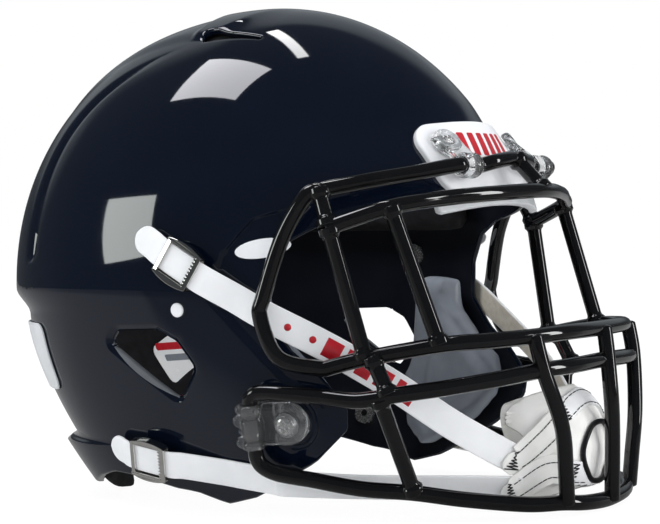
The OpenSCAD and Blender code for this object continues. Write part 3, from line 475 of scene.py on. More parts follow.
def cut_wall(sheet, outer, inner, keep, rim, lines=(), key=None, foot=None, mark=None):
    """A closed wall between two surfaces over a sheet, trimmed to where keep is positive, with a rounded rim.
    lines are pairs of a field and the values along which the outer surface may crease; foot is the rounding
    at the inner surface where it differs from the rim's. Outside faces where mark is positive get index 2.
    Gives the shape, its normals and its material index."""
    uv, tris = sheet
    for field, values in lines:
        for value in values:
            uv, tris = split(uv, tris, field(uv) - value)
    uv, tris = split(uv, tris, keep(uv) - rim)
    tris = tris[(keep(uv) - rim)[tris].mean(1) > 0]
    name = np.round(uv if key is None else key(uv), 5)
    _, first, back = np.unique(name, axis=0, return_index=True, return_inverse=True)
    uv, tris = uv[first], np.ravel(back)[tris]
    tris = tris[np.all(tris != np.roll(tris, 1, axis=1), axis=1)]
    used, tris = np.unique(tris, return_inverse=True)
    uv, tris = uv[used], tris.reshape(-1, 3)
    n = len(uv)
    top, under = outer(uv), inner(uv)
    du, dv = np.diag(2e-4 * np.ptp(uv, axis=0))

    def slope_of(surface):
        return np.cross(surface(uv + dv) - surface(uv - dv), surface(uv + du) - surface(uv - du))
    out_slope = slope_of(outer)
    out_n, in_n = unit(out_slope), -unit(slope_of(inner))
    flat = unit(top - under)
    weak = np.linalg.norm(out_slope, axis=1) < 1e-9
    out_n[weak], in_n[weak] = flat[weak], -flat[weak]
    edges = {}
    for a, b, c in tris.tolist():
        for pair in ((a, b), (b, c), (c, a)):
            if edges.pop(pair[::-1], None) is None:
                edges[pair] = True
    tangent = np.zeros((n, 3))
    for a, b in edges:
        tangent[[a, b]] += unit(top[b] - top[a])
    quarter = [math.pi / 2 * k / RIM_STEPS for k in range(1, RIM_STEPS + 1)]
    rows, extra, extra_n = {}, [], []
    for i in sorted({i for pair in edges for i in pair}):
        side = unit(np.cross(tangent[i], out_n[i]))
        thick = np.linalg.norm(under[i] - top[i])
        down = (under[i] - top[i]) / thick
        r = min(rim, thick / 2)
        low = r if foot is None else foot
        count = 2 * n + len(extra)
        rows[i] = [i, *range(count, count + 2 * RIM_STEPS), i + n]
        for a in quarter:
            extra.append(top[i] + side * r * math.sin(a) + down * r * (1 - math.cos(a)))
            extra_n.append(unit(out_n[i] * math.cos(a) + side * math.sin(a)))
        for a in reversed(quarter):
            extra.append(under[i] + side * (r - low + low * math.sin(a)) - down * low * (1 - math.cos(a)))
            extra_n.append(unit(in_n[i] * math.cos(a) + side * math.sin(a)))
    marked = np.full(n, -1.0) if mark is None else mark(uv)
    faces = [*tris.tolist(), *(tris[:, ::-1] + n).tolist()]
    index = [*np.where(marked[tris].mean(1) > 0, 2, 0), *np.ones(len(tris), int)]
    for a, b in edges:
        for k in range(2 * RIM_STEPS + 1):
            faces.append((rows[b][k], rows[a][k], rows[a][k + 1], rows[b][k + 1]))
            index.append(2 if marked[a] + marked[b] > 0 else 0)
    return (np.vstack([top, under, extra]), faces), np.vstack([out_n, in_n, extra_n]), index


# Shell

SIDE_OUTLINE = filleted([
    (-160, 142), (-101, 139), (-56, 129), (-44, 122), (-37, 108), (-36, 90), (-46, 75), (-58, 65), (-70, 51),
    (-69, 40), (-52, 25), (-20, 8), (-4, 4), (12, 9), (22, 10), (44, 14.5), (62, 15.5), (76, 12), (92, 6),
    (190, 6), (190, 260), (-160, 260)], 5)
FLANGE = filleted([
    (-86, 149), (-67, 143.5), (-28, 132.5), (-15, 117), (-8, 99), (-42.5, 62), (-57, 53.5), (-60.5, 47.5),
    (-56.5, 40), (-38, 22), (-60, 10), (-110, 40), (-110, 130)], 3)
EAR = filleted([(48.4, 77.5), (43.5, 82.5), (21, 83.2), (10.5, 78), (2.5, 66.5), (11.5, 53)], 3)
EAR_LOW = ((48.4, 77.5), (11.5, 53))
SIDE_SCREW = (-43.5, 43.5)
CLIP_R = 10
SHELL_RIM = 1.2
FLANGE_DEPTH, GROOVE_DEPTH, DISH_DEPTH, LINE_DEPTH = 1.2, 0.9, 0.4, 2.4
BEVEL_REACH, BEVEL_SLOPE = 3.15, 0.8
MM_PER_DEGREE = 1.9
base, shell_in = at_inset(0), at_inset(WALL)


def flange_d(uv):
    return outline_d(FLANGE, base(uv))


def ear_d(uv):
    """Distance outside the ear hole."""
    return -outline_d(EAR, base(uv))


def ear_cut_edge_and_light(uv):
    """Positive on a lens along the ear hole's lower side, which takes a lighter matt grey: the bare cut
    edge's colour, with painted light for the light that edge catches.
    """
    p = base(uv)[:, 1:]
    start, end = np.array(EAR_LOW)
    run = end - start
    t = np.clip((p - start) @ run / (run @ run), 0, 1)
    out = (p - start) @ np.array([-run[1], run[0]]) / np.linalg.norm(run)
    return np.where(ear_d(uv) < 9, 2.6 * np.sin(np.pi * t) ** 0.8 - np.abs(out - 0.4), -1)


def vent_d(uv):
    """Distance outside the teardrop of a crown vent, seen from above."""
    p = base(uv)
    t = np.clip((p[:, 1] - VENT_FRONT) / (VENT_REAR - VENT_FRONT), 0, 1)
    y = VENT_FRONT + t * (VENT_REAR - VENT_FRONT)
    away = np.hypot(np.abs(p[:, 0]) - VENT_X, p[:, 1] - y) - (0.75 + 1.75 * t)
    return np.where(p[:, 2] > 150, away, 50)


def clip_d(uv):
    p = base(uv)
    return np.hypot(p[:, 1] - SIDE_SCREW[0], p[:, 2] - SIDE_SCREW[1]) - CLIP_R


# Angle of the line behind each vent, as a polynomial of the level
REAR_LINE = (21.3, -307.2, 175.7, -23.9, 127.5)


def rear_line_d(uv):
    """Distance from the line pressed into each side behind its vent, positive toward the face."""
    here = MM_PER_DEGREE * np.cos(np.pi / 2 * 0.85 * uv[:, 0])
    return (np.polyval(REAR_LINE, uv[:, 0]) - np.abs(uv[:, 1])) * here


def shell_keep(uv):
    return np.minimum(np.minimum(outline_d(SIDE_OUTLINE, base(uv)), ear_d(uv)), vent_d(uv))


def shell_press(uv):
    """How deep the outside is pressed in: flange, clip groove, ear bevel, vent dish and rear line."""
    p = base(uv)
    width = 1.5 + 3.5 * smooth((122 - p[:, 2]) / 20)
    flange = FLANGE_DEPTH * smooth(flange_d(uv) / width + 0.5)
    ring = clip_d(uv)
    ahead = smooth((SIDE_SCREW[0] + 3 - p[:, 1]) / 5)
    groove = GROOVE_DEPTH * smooth(ring) * smooth(3.0 - ring) * ahead
    slope = BEVEL_REACH - ear_d(uv)
    bevel = BEVEL_SLOPE * np.where(slope > 0.35, slope, np.clip(slope + 0.35, 0, 1) ** 2 / 1.4)
    dish = DISH_DEPTH * np.clip(1 - vent_d(uv) / 3.0, 0, 1) ** 2
    away = rear_line_d(uv)
    fall = np.where(away > 0, np.clip(1 - away / 10, 0, 1), np.clip(1 + away / 8, 0, 1)) ** 2
    line = LINE_DEPTH * fall * smooth((0.68 - uv[:, 0]) / 0.22) * smooth((uv[:, 0] - 0.06) / 0.03)
    return flange + groove + bevel + dish + line


def shell_out(uv):
    return skin(uv[:, 0], uv[:, 1], shell_press(uv))


def shell_key(uv):
    """Names of points, the same on both sides of the seam and at the crown."""
    turn = np.where(uv[:, 1] > 179.9999, uv[:, 1] - 360, uv[:, 1])
    return np.stack([uv[:, 0], np.where(uv[:, 0] > 0.99999, 0, turn)], -1)


SHELL_CREASES = (
    (flange_d, (-2.5, -0.75, -0.25, 0.25, 0.75, 2.5)), (ear_d, (2.0, 2.8, BEVEL_REACH, 3.5)),
    (clip_d, (0.0, 0.5, 1.0, 2.0, 2.5, 3.0)), (vent_d, (1.0, 2.0, 3.0)),
    (rear_line_d, (-8, -5.5, -3, -1.5, 0, 2, 4, 7, 10)), (ear_cut_edge_and_light, (0.0,)))
levels = np.concatenate([np.linspace(-0.97, 0, 46)[:-1], np.linspace(0, 1, 84)])
shell_sheet = grid(levels, np.linspace(-180, 180, 265))
# Faces on the ear hole's lower edge take the lighter grey, which is partly painted light
shape, normals, index = cut_wall(shell_sheet, shell_out, shell_in, shell_keep, SHELL_RIM,
                                 SHELL_CREASES, key=shell_key, mark=ear_cut_edge_and_light)
mesh_piece("helmet_shell", shape, [SHELL, SHELL_IN, SHELL_EDGE_AND_PAINTED_LIGHT], "helmet", ["shell"],
           normals, index)


# Trim on the shell

def patch_piece(name, z_range, angle_range, outer, inner, keep, rim, mat, replaces, step, foot=None):
    """A piece that follows the shell between two insets, trimmed to where keep is positive."""
    sheet = shell_grid(z_range, angle_range, step)
    shape, normals, _ = cut_wall(sheet, at_inset(outer), at_inset(inner), keep, rim, foot=foot)
    mesh_piece(name, shape, mat, "helmet", replaces, normals)


BUMPER_Z = (140, 174)
BUMPER_HALF = 43
BUMPER_LIP_Z = (136.2, 139.6)


def bumper_keep(q):
    p = base(q)
    up = p[:, 2] - sum(BUMPER_Z) / 2
    fall = 2.8 * (p[:, 0] / BUMPER_HALF) ** 2 * smooth(up / 10)
    return rounded_box_d(p[:, 0], up + fall, BUMPER_HALF, (BUMPER_Z[1] - BUMPER_Z[0]) / 2, 11)


patch_piece("front_bumper_pad", (138, 176), (-27, 27), -3.0, -0.05, bumper_keep, 1.1, WHITE, ["front_bumper"],
            (30, 70), 0.05)


def lip_keep(q):
    p = base(q)
    low, high = BUMPER_LIP_Z[0] - 3.4 * (p[:, 0] / BUMPER_HALF) ** 2, BUMPER_LIP_Z[1]
    return np.minimum(np.minimum(p[:, 2] - low, high - p[:, 2]), BUMPER_HALF + 5 - np.abs(p[:, 0]))


# The lip is the white bumper curving under the brow edge; its grey plastic is painted shade for the unlit
# underside
patch_piece("bumper_lip_painted_shade", (130, 141), (-32, 32), -2.6, 1.5, lip_keep, 1.2, GREY, [],
            (24, 80))

PRINT_X, PRINT_Z = (-19, -12, -5, 2, 9, 16), 163


def bumper_print_keep(q):
    x, up = base(q)[:, 0], base(q)[:, 2] - PRINT_Z
    return np.max([rounded_box_d(x - at - 0.2 * up, up, 2.2, 5.2, 0.8) for at in PRINT_X], axis=0)


patch_piece("bumper_print", (157, 169), (-13, 13), -3.12, -2.9, bumper_print_keep, 0.05, RED, [],
            (50, 120))


REAR_Z, REAR_HALF_ANGLE, REAR_HALF_H = 69, 55, 16


def rear_keep(q):
    aside = (q[:, 1] - 180) * MM_PER_DEGREE
    return rounded_box_d(aside, base(q)[:, 2] - REAR_Z, REAR_HALF_ANGLE * MM_PER_DEGREE, REAR_HALF_H, 6)


patch_piece("rear_bumper_strip", (52, 86), (124, 236), -1.5, -0.3, rear_keep, 0.5, GREY, ["rear_bumper"],
            (24, 90))

# Place and half sizes of the oval label at each temple
OVAL_Y, OVAL_Z, OVAL_LONG, OVAL_HIGH = -33, 119.5, 12.5, 4.3


def oval_keep(q):
    p = base(q)
    a = p[:, 1] - OVAL_Y
    b = p[:, 2] - OVAL_Z + 0.12 * a
    return OVAL_HIGH * (1 - np.hypot(a / OVAL_LONG, b / OVAL_HIGH))


for side, sign in SIDES:
    patch_piece(f"side_label_{side}", (112, 126), sorted((sign * 48, sign * 75)), 0.9, 1.25, oval_keep, 0.12,
                LABEL, [], (40, 60))


# Turned fasteners

def circle(r, h, turns):
    a = 2 * np.pi * np.arange(turns) / turns
    return np.stack([r * np.cos(a), r * np.sin(a), np.full(turns, h)], -1)


def lathe(profile, turns=40):
    """A closed turned form from (radius, height) pairs that start and end on the axis."""
    pts, fcs = loft([circle(r, h, turns) for r, h in profile[1:-1]], caps=False)
    n = len(pts)
    around = [(k, (k + 1) % turns) for k in range(turns)]
    fcs += [(n, j, k) for k, j in around]
    fcs += [(n - turns + k, n - turns + j, n + 1) for k, j in around]
    return np.vstack([pts, (0, 0, profile[0][1]), (0, 0, profile[-1][1])]), fcs


def ring_mesh(profile, turns=40):
    """A turned ring from a closed profile of (radius, height) pairs."""
    return loft([circle(r, h, turns) for r, h in profile], loop=True)


def domed_head(r, h, foot, recess):
    """A screw head with a domed top over its foot, with a cross recess pressed into it."""
    edge = 0.55
    arc = np.linspace(0, math.pi / 2, 16)[1:]
    dome = [(r * math.cos(a), foot + edge + (h - edge) * math.sin(a)) for a in arc]
    pts, fcs = lathe([(0, foot), (r * 0.92, foot), (r, foot + 0.25), (r, foot + edge), *dome], 48)
    away, arm = np.hypot(pts[:, 0], pts[:, 1]), np.abs(pts[:, :2]).min(1)
    cross = smooth((0.75 - arm) / 0.35) * smooth((0.62 * r - away) / 0.5)
    pts[:, 2] -= np.where(pts[:, 2] > foot + 0.6, recess * cross, 0)
    return pts, [f[1:] + f[:1] for f in fcs]


UPPER_STUD, UPPER_LEAN = (2.5, 112.5), 31
LOWER_STUD, LOWER_LEAN = (29, 26), 10
PLUG = (6.8, 92.7)
plug = lathe([(0, 0.3), (2.9, 0.3), (3.2, 0.55), (3.2, 1.0), (3.0, 1.3), (2.4, 1.5), (1.2, 1.58), (0, 1.6)])
mesh_piece("hole_plug_caps", both_sides(seated(plug, *side_seat(PLUG))), WHITE, "helmet", ["hole_plugs"])

# Top clips, their screws and the brow bar's swing axis
SEAT_GAP = 0.3
WIRE_R = 3.5
TOP_X, TOP_SCREW_X, TOP_SCREW_Z = 35, 31, 162
SWING_Z = 154
CLIP_LEN, CLIP_LOOP_R = 9, 5.5
CLIP_FLOOR = 0.6 + 2.4 + SEAT_GAP
inner_x = TOP_X - CLIP_LEN / 2
SWING_Y = front_y(inner_x, SWING_Z) + (CLIP_FLOOR + CLIP_LOOP_R) / front_normal(inner_x, SWING_Z)[1]
top_seat = np.array([TOP_SCREW_X, front_y(TOP_SCREW_X, TOP_SCREW_Z), TOP_SCREW_Z])
top_axes = seat_axes(front_normal(TOP_SCREW_X, TOP_SCREW_Z))
top_loop = np.array([TOP_X, SWING_Y, SWING_Z])

SCREW_SEAT = CLIP_FLOOR + 2.4
top_screw = [domed_head(3.3, 1.9, SCREW_SEAT, 0.6),
             lathe([(0, -5.6), (2.2, -5.6), (2.5, -5.0), (2.5, SCREW_SEAT), (0, SCREW_SEAT)])]
mesh_piece("top_clip_screw_heads", both_sides(*[seated(part, top_seat, top_axes) for part in top_screw]),
           STEEL, "helmet", ["top_clip_screws"])

SCREW_BORE = 2.75
BOSS_EDGE = ((SCREW_BORE, 0), (6.5, 0), (6.9, 0.4), (7, 1.6), (6.8, 2.6), (6.3, 3.4), (5.5, 3.9), (4.6, 4.1),
             (3.9, 3.9), (3.6, 3.4), (3.55, 2.3), (SCREW_BORE, 2.3))
SLEEVE_EDGE = ((3.72, -6.2), (4.9, -6.2), (5.5, -5.8), (5.8, -4.6), (5.6, -3.2), (5.1, -2.4), (5.0, 0),
               (5.1, 2.0), (5.6, 2.5), (5.8, 3.5), (5.5, 4.4), (4.9, 4.7), (3.72, 4.7))
SLEEVE_AXES = ((0, 0, 1), (0, 1, 0), (-1, 0, 0))


def arm_between(a, b, wide, low, high, rows=12):
    """A flat web from a to b in a seat's plane, waisted and rounded across. Sizes are given at both ends."""
    ahead = unit(b - a)
    aside = np.array([-ahead[1], ahead[0]])
    turn = 2 * np.pi * np.arange(16) / 16
    across, up = (np.sign(v) * np.abs(v) ** 0.5 for v in (np.cos(turn), np.sin(turn)))
    rings = []
    for t in np.linspace(0, 1, rows + 1):
        w, lo, hi = (start + (end - start) * t for start, end in (wide, low, high))
        flat = a + (b - a) * t + aside * (w * (1 - 0.16 * math.sin(math.pi * t)) * across)[:, None]
        rings.append(np.column_stack([flat, (hi + lo) / 2 + (hi - lo) / 2 * up]))
    return loft(rings)


loop_local = (top_loop - top_seat) @ top_axes.T
reach = np.linalg.norm(loop_local[:2])
ahead = loop_local[:2] / reach
arm = arm_between(ahead * -3.0, ahead * (reach - 2.9), (8.0, 7.0), (CLIP_FLOOR + 0.1, loop_local[2] - 1.6),
                  (CLIP_FLOOR + 3.0, loop_local[2] + 2.2))
boss = ring_mesh([(r, CLIP_FLOOR + h) for r, h in BOSS_EDGE], 48)
top_clip = joined([seated(boss, top_seat, top_axes), seated(arm, top_seat, top_axes),
                   seated(ring_mesh(SLEEVE_EDGE), top_loop, SLEEVE_AXES)])
for side, sign in SIDES:
    mesh_piece(f"top_clip_clear_{side}", on_side(top_clip, sign), CLEAR, "helmet", [f"top_clip_{side}"])

# Side clips with their washers and screws
SIDE_CLIP_T, SIDE_CLIP_H, SIDE_REACH = 4, 20, 15.5
STRAP_W, STRAP_T = 13, 1.5
STRAP_LIE = STRAP_T / 2 + 0.8
CLIP_WIRE_OUT = STRAP_LIE + STRAP_T / 2 + 2 * SEAT_GAP + WIRE_R
clip_at, clip_axes = side_seat(SIDE_SCREW)
WASHER_FOOT = SEAT_GAP + SIDE_CLIP_T
SIDE_HEAD = WASHER_FOOT + 1.3
WASHER_EDGE = ((SCREW_BORE, 0), (5.7, 0), (6, 0.3), (5.8, 0.8), (5.2, 1), (SCREW_BORE, 1))
washer = ring_mesh([(r, WASHER_FOOT + h) for r, h in WASHER_EDGE], 48)
mesh_piece("side_clip_washer_rings", both_sides(seated(washer, clip_at, clip_axes)), CLEAR, "facemask",
           ["side_clip_washers"])
side_screw = [domed_head(4.5, 2.8, SIDE_HEAD, 0.8),
              lathe([(0, SEAT_GAP), (2.5, SEAT_GAP), (2.5, SIDE_HEAD), (0, SIDE_HEAD)])]
mesh_piece("side_clip_screw_heads", both_sides(*[seated(part, clip_at, clip_axes) for part in side_screw]),
           STEEL, "facemask", ["side_clip_screws"])


def clip_plate_keep(q):
    plate = rounded_box_d(q[:, 0] - SIDE_REACH / 2 + 1, q[:, 1], SIDE_REACH / 2 + 3.5, SIDE_CLIP_H / 2, 0.8)
    away = np.hypot(q[:, 0], q[:, 1])
    end = SIDE_CLIP_H / 2 - away
    front = np.maximum(np.minimum(plate, 16 - q[:, 0]), np.minimum(end, 9))
    return np.minimum(np.where(q[:, 0] < 0, end, front), away - SCREW_BORE)


def clip_top(q):
    ridge = sum(0.7 * np.exp(-((q[:, 0] - c) / 0.9) ** 2) for c in (8.0, 11.0))
    dish = 0.5 * smooth((np.hypot(q[:, 0], q[:, 1]) - 6.2) / 0.8)
    edge = SIDE_CLIP_H / 2 - np.hypot(np.minimum(q[:, 0], 0), q[:, 1])
    slope = 0.95 * np.clip(3.2 - edge, 0, 2.8) * smooth((q[:, 1] + 2) / 6)
    lift = np.where(q[:, 0] < 6, dish, 0.5) + ridge - slope
    return np.stack([q[:, 0], q[:, 1], SEAT_GAP + SIDE_CLIP_T - 0.5 + lift], -1)


def clip_under(q):
    return np.stack([q[:, 0], q[:, 1], np.full(len(q), SEAT_GAP)], -1)


plate_u, plate_t = grid(np.linspace(-11, 16, 46), np.linspace(-11, 11, 36))
plate = cut_wall((plate_u, plate_t[:, ::-1]), clip_top, clip_under, clip_plate_keep, 0.7)[0]
half_edge = [(WIRE_R - 0.1, -10), (4.9, -10), (5.4, -9.6), (5.5, -8.6), (5.4, -7.2), (4.9, -6.7), (4.8, -3.5),
             (5.3, -3), (5.5, -2)]
loop_edge = half_edge + [(r, -h) for r, h in half_edge[::-1]]
# Knobs behind the wire: place along, up and out from the loop's middle, and radius
KNOBS = ((5.6, -7.6, 0.2, 2.7), (4.8, -2.6, -0.6, 2.2), (5.9, 2.2, 0.4, 2.8), (5.0, 7.4, -0.2, 2.4))
ball = lathe([(math.sin(q), -math.cos(q)) for q in np.linspace(0, math.pi, 13)], 20)
loop_middle = np.array([SIDE_REACH, 0, CLIP_WIRE_OUT])
loop_axes = np.array([clip_axes[0], clip_axes[2], -clip_axes[1]])
knobs = [(ball[0] * r + loop_middle + place, ball[1]) for *place, r in KNOBS]
side_clip = joined([seated(plate, clip_at, clip_axes),
                    seated(ring_mesh(loop_edge), on_seat(loop_middle, clip_at, clip_axes), loop_axes),
                    *[seated(part, clip_at, clip_axes) for part in knobs]])
for side, sign in SIDES:
    mesh_piece(f"side_clip_clear_{side}", on_side(side_clip, sign), CLEAR, "facemask", [f"side_clip_{side}"])


# Face guard

def curve(points, steps):
    """A smooth line through the points, with this many steps between each two."""
    p = np.asarray(points, float)
    n = len(p) - 1
    out = []
    for i in range(n):
        a, b, c, d = p[max(0, i - 1)], p[i], p[i + 1], p[min(n, i + 2)]
        for k in range(steps):
            t = k / steps
            out.append(0.5 * (2 * b + (c - a) * t + (2 * a - 5 * b + 4 * c - d) * t * t
                              + (3 * b - a - 3 * c + d) * t ** 3))
    return np.array(out + [p[n]])


def headings(line):
    ahead = np.vstack([line[1:], line[-1:]])
    behind = np.vstack([line[:1], line[:-1]])
    return unit(ahead - behind)


END_ROUND = 0.45


def tube(line, radius, sides=14, ends=True):
    """A round bar along a line of points, with softly rounded ends. Its radius may change along the line."""
    line = np.asarray(line, float)
    t = headings(line)
    u = unit(np.cross(t[0], [0, 0, 1] if abs(t[0][2]) < 0.9 else [0, 1, 0]))
    stations = []
    for p, ahead, r in zip(line, t, np.broadcast_to(radius, len(line))):
        u = unit(u - ahead * (u @ ahead))
        stations.append((p, r, u, np.cross(ahead, u)))
    if ends:
        cap = [(math.cos(q), END_ROUND * math.sin(q)) for q in np.linspace(0, math.pi / 2, 5)[1:-1]]
        (p, r, *side), (q, s, *far_side) = stations[0], stations[-1]
        stations = ([(p - t[0] * r * out, r * c, *side) for c, out in reversed(cap)] + stations
                    + [(q + t[-1] * s * out, s * c, *far_side) for c, out in cap])
    turn = 2 * np.pi * np.arange(sides)[:, None] / sides
    return loft([p + r * (np.cos(turn) * u + np.sin(turn) * v) for p, r, u, v in stations])


def bent(points):
    """A bar of the guard, bent through these points."""
    return tube(curve(points, 8), WIRE_R, 16)


def rod(a, b):
    """A straight bar between two bars' centres, flared into a fillet where it is welded to each."""
    a, b = np.asarray(a, float), np.asarray(b, float)
    length = np.linalg.norm(b - a)
    end = np.linspace(0, 6, 13)
    s = np.concatenate([end, np.linspace(6, length - 6, 6)[1:-1], length - end[::-1]])
    gap = np.minimum(s, length - s) - WIRE_R * 0.9
    flare = 1.3 * np.clip(1 - gap / 2.2, 0, 1) ** 2
    return tube(a + unit(b - a) * s[:, None], WIRE_R + flare, 16, False)


def across(half):
    """A bar's left half, from the middle outward, and its mirror image as one line."""
    return np.vstack([mirrored(half[:0:-1]), np.asarray(half, float)])


GUARD_HALF, GUARD_REACH = 99.5, 148.5
FRONT = -GUARD_REACH
STANDOFF = 9.5


def off_side(y, z):
    return side_point(y, z) + side_normal(y, z) * STANDOFF


def beside(y, z, gap):
    return np.array([side_x(y, z) + gap, y, z])


def clip_point(along, up, out):
    return on_seat([along, up, out], clip_at, clip_axes)


pin_half = CLIP_LEN / 2 + 2
brow_end = (GUARD_HALF - 4, SWING_Y + 41, SWING_Z - 10)
brow_points = np.array([
    (0, SWING_Y - 6, SWING_Z + 3.5), (16, SWING_Y - 4, SWING_Z + 2),
    (TOP_X - pin_half - 4.5, SWING_Y, SWING_Z), (TOP_X - pin_half, SWING_Y, SWING_Z),
    (TOP_X + pin_half, SWING_Y, SWING_Z), (TOP_X + pin_half + 4.5, SWING_Y, SWING_Z),
    (62, SWING_Y + 11, SWING_Z - 3), (79, SWING_Y + 24, SWING_Z - 6), brow_end])
nose_end = (GUARD_HALF - 4, -62, 67)
side_points = np.array([
    brow_end, (GUARD_HALF - 0.5, SWING_Y + 46, SWING_Z - 13), off_side(-43, 122), off_side(-36.5, 99),
    off_side(-35.5, 89), off_side(-44, 72), nose_end])
upper_y = SWING_Y - 19.8
eye_outer_top = np.array((GUARD_HALF, upper_y + 54, 128))
eye_inner_top = np.array((GUARD_HALF - 13.5, upper_y + 31, 136))
upper_points = np.array([(0, upper_y, 142.5), (30, upper_y + 6.5, 141.5), (60, upper_y + 18.5, 139.5),
                         eye_inner_top, eye_outer_top])
nose_front = (50, FRONT + 10, 79)
eye_inner_low = np.array((81, -111, 77))
eye_outer_low = np.array((91, -80, 71.5))
nose_points = np.array([(0, FRONT, 80), (28, FRONT + 2, 80), nose_front, (68, -128, 78.3), eye_inner_low,
                        eye_outer_low, nose_end])
mouth_front = (48.5, FRONT + 7, 64.3)
cheek_low, jaw_top = np.array((92.2, -92, 55.9)), np.array((93.3, -88, 55))
mouth_end = beside(-63, 55.2, 6)
mouth_points = np.array([(0, FRONT - 1.5, 66), (28, FRONT, 65.4), mouth_front, (66, -131, 62), (80, -114, 59),
                         (87, -103, 57.4), cheek_low, jaw_top, (96.5, -78, 53.9), mouth_end])
chin_end = beside(-51, 18.6, 6.5)
half_h = SIDE_CLIP_H / 2
loop_points = np.array([
    mouth_end, *[clip_point(SIDE_REACH - back, up, CLIP_WIRE_OUT) for back, up in (
        (18, half_h + 5), (6, half_h + 5.4), (1.4, half_h + 3.4), (0, half_h), (0, 0), (0, -half_h),
        (0.4, -half_h - 5), (3, -half_h - 9), (10, -half_h - 12))], chin_end])
chin_front = (34, FRONT + 4, 5.8)
jaw_low = np.array((74, -93, 12.4))
chin_points = np.array([(0, FRONT - 2.2, WIRE_R), (20, FRONT - 1, 4.4), chin_front, (48, -134, 6.4),
                        (62, -112, 9), jaw_low, (83.5, -72, 14.3), chin_end])
BAR_STEP = np.array((0, 2.2, 0))
upright_mid = np.array([nose_points[0], mouth_points[0], (0, FRONT - 3, 40), chin_points[0]]) - BAR_STEP
upright_side = np.array([nose_front, mouth_front, (40, FRONT + 3, 40), (36, FRONT + 3.4, 19),
                         chin_front]) - BAR_STEP


def guard_piece(node, shape):
    mesh_piece("guard_" + node, shape, GUARD, "facemask", [node])


for bar, half in (("brow_bar", brow_points), ("upper_bar", upper_points), ("nose_bar", nose_points),
                  ("mouth_bar", mouth_points), ("chin_bar", chin_points)):
    guard_piece(bar, bent(across(half)))
guard_piece("side_frames", both_sides(bent(side_points)))
guard_piece("clip_loops", both_sides(bent(loop_points)))
guard_piece("temple_struts", both_sides(rod(brow_end, eye_outer_top)))
guard_piece("brow_strut", rod(brow_points[0], upper_points[0]))
guard_piece("eye_bars", both_sides(rod(eye_outer_top, eye_outer_low), rod(eye_inner_top, eye_inner_low)))
guard_piece("cheek_struts", both_sides(rod(eye_outer_low + (0.5, -4, 0.3), cheek_low)))
guard_piece("jaw_bars", both_sides(rod(jaw_top, jaw_low)))
guard_piece("front_bars", joined([bent(upright_mid), both_sides(bent(upright_side))]))


# Straps

BUCKLE_LEN = 19.5
STUD_H = 4
BUCKLE_FLOOR = STUD_H + SEAT_GAP
STRAP_RIDE = BUCKLE_FLOOR + 0.8 + SEAT_GAP + STRAP_T / 2
CUP_Y, CUP_Z, CUP_TILT, CUP_DEPTH, CUP_W, CUP_H = 27.5 - GUARD_REACH, 28, 18, 27, 66, 46
STRAP_END_X, STRAP_END_Y = CUP_W / 2 + 1.2, CUP_Y - 4


def at_buckle(stud, lean, along, lift):
    spot, ax = side_seat(stud, lean)
    return np.concatenate([spot + ax[0] * along + ax[2] * lift, ax[2]])


def on_shell(y, z):
    n = side_normal(y, z)
    return np.concatenate([side_point(y, z) + n * STRAP_LIE, n])


def free(x, y, z):
    p = np.array([x, y, z], float)
    return np.concatenate([p, unit(p - [0, -20, 60])])


def strap_route(stud, lean, tail, middle):
    return np.array([at_buckle(stud, lean, *tail), at_buckle(stud, lean, 18, STRAP_LIE + 2),
                     at_buckle(stud, lean, BUCKLE_LEN / 2, STRAP_RIDE),
                     at_buckle(stud, lean, -BUCKLE_LEN / 2, STRAP_RIDE),
                     at_buckle(stud, lean, -18, STRAP_LIE + 2.2)] + middle)


upper_route = strap_route(UPPER_STUD, UPPER_LEAN, (28, STRAP_LIE + 0.5), [
    on_shell(-22, 97.8), on_shell(-36, 89.6), free(88, CUP_Y + 61, 75.5), free(75, CUP_Y + 37, 59),
    free(60, CUP_Y + 18, 42), free(46, CUP_Y + 4, 30), free(STRAP_END_X, STRAP_END_Y, 22.5)])
lower_route = strap_route(LOWER_STUD, LOWER_LEAN, (25, STRAP_LIE + 0.6), [
    *[on_shell(-6 - 8 * i, 20 - i) for i in range(5)], free(74, CUP_Y + 59, 13.5), free(60, CUP_Y + 37, 12.5),
    free(48, CUP_Y + 18, 12), free(STRAP_END_X, STRAP_END_Y, 11)])


def ribbon_frames(route, steps):
    fine = curve(route, steps)
    line = fine[:, :3]
    t = headings(line)
    face = fine[:, 3:]
    face = unit(face - t * np.sum(face * t, 1, keepdims=True))
    return line, np.cross(t, face), face


def run_along(line):
    """The length along a line up to each of its points."""
    return np.concatenate([[0], np.cumsum(np.linalg.norm(np.diff(line, axis=0), axis=1))])


def at_run(s, run, track):
    return np.stack([np.interp(s, run, track[:, i]) for i in range(3)], -1)


EDGE_TURNS = [math.pi / 8 * k for k in range(-4, 5)]


def ribbon(route, width, thick, steps=10):
    """A flat strap with soft edges and a round tail, and its material index, which is 1 on its back."""
    tracks = ribbon_frames(route, steps)
    run = run_along(tracks[0])
    tail = width / 2 * (1 - np.cos(np.linspace(0, math.pi / 2, 9)))[:-1]
    stations = np.concatenate([tail, run[np.argmax(run > width / 2):]])
    line, side, face = (at_run(stations, run, v) for v in tracks)
    share = np.sqrt(np.clip(1 - (1 - np.clip(2 * stations / width, 0, 1)) ** 2, 0.004, 1))
    rings = []
    for p, aside, out, w in zip(line, unit(side), unit(face), width / 2 * share):
        r = min(thick * 0.42, w * 0.8)
        half = [(0, -thick / 2), (w / 2, -thick / 2)]
        half += [(w - r + r * math.cos(q), (thick / 2 - r) * np.sign(q) + r * math.sin(q))
                 for q in EDGE_TURNS]
        half += [(w / 2, thick / 2)]
        section = half + [(0, thick / 2)] + [(-u, v) for u, v in half[:0:-1]]
        rings.append([p + aside * u + out * v for u, v in section])
    pts, fcs = loft(rings)
    m = len(section)
    row = [1 if k in (0, 1, m - 2, m - 1) else 0 for k in range(m)]
    return (pts, flipped(fcs)), row * (len(rings) - 1) + [0, 0]


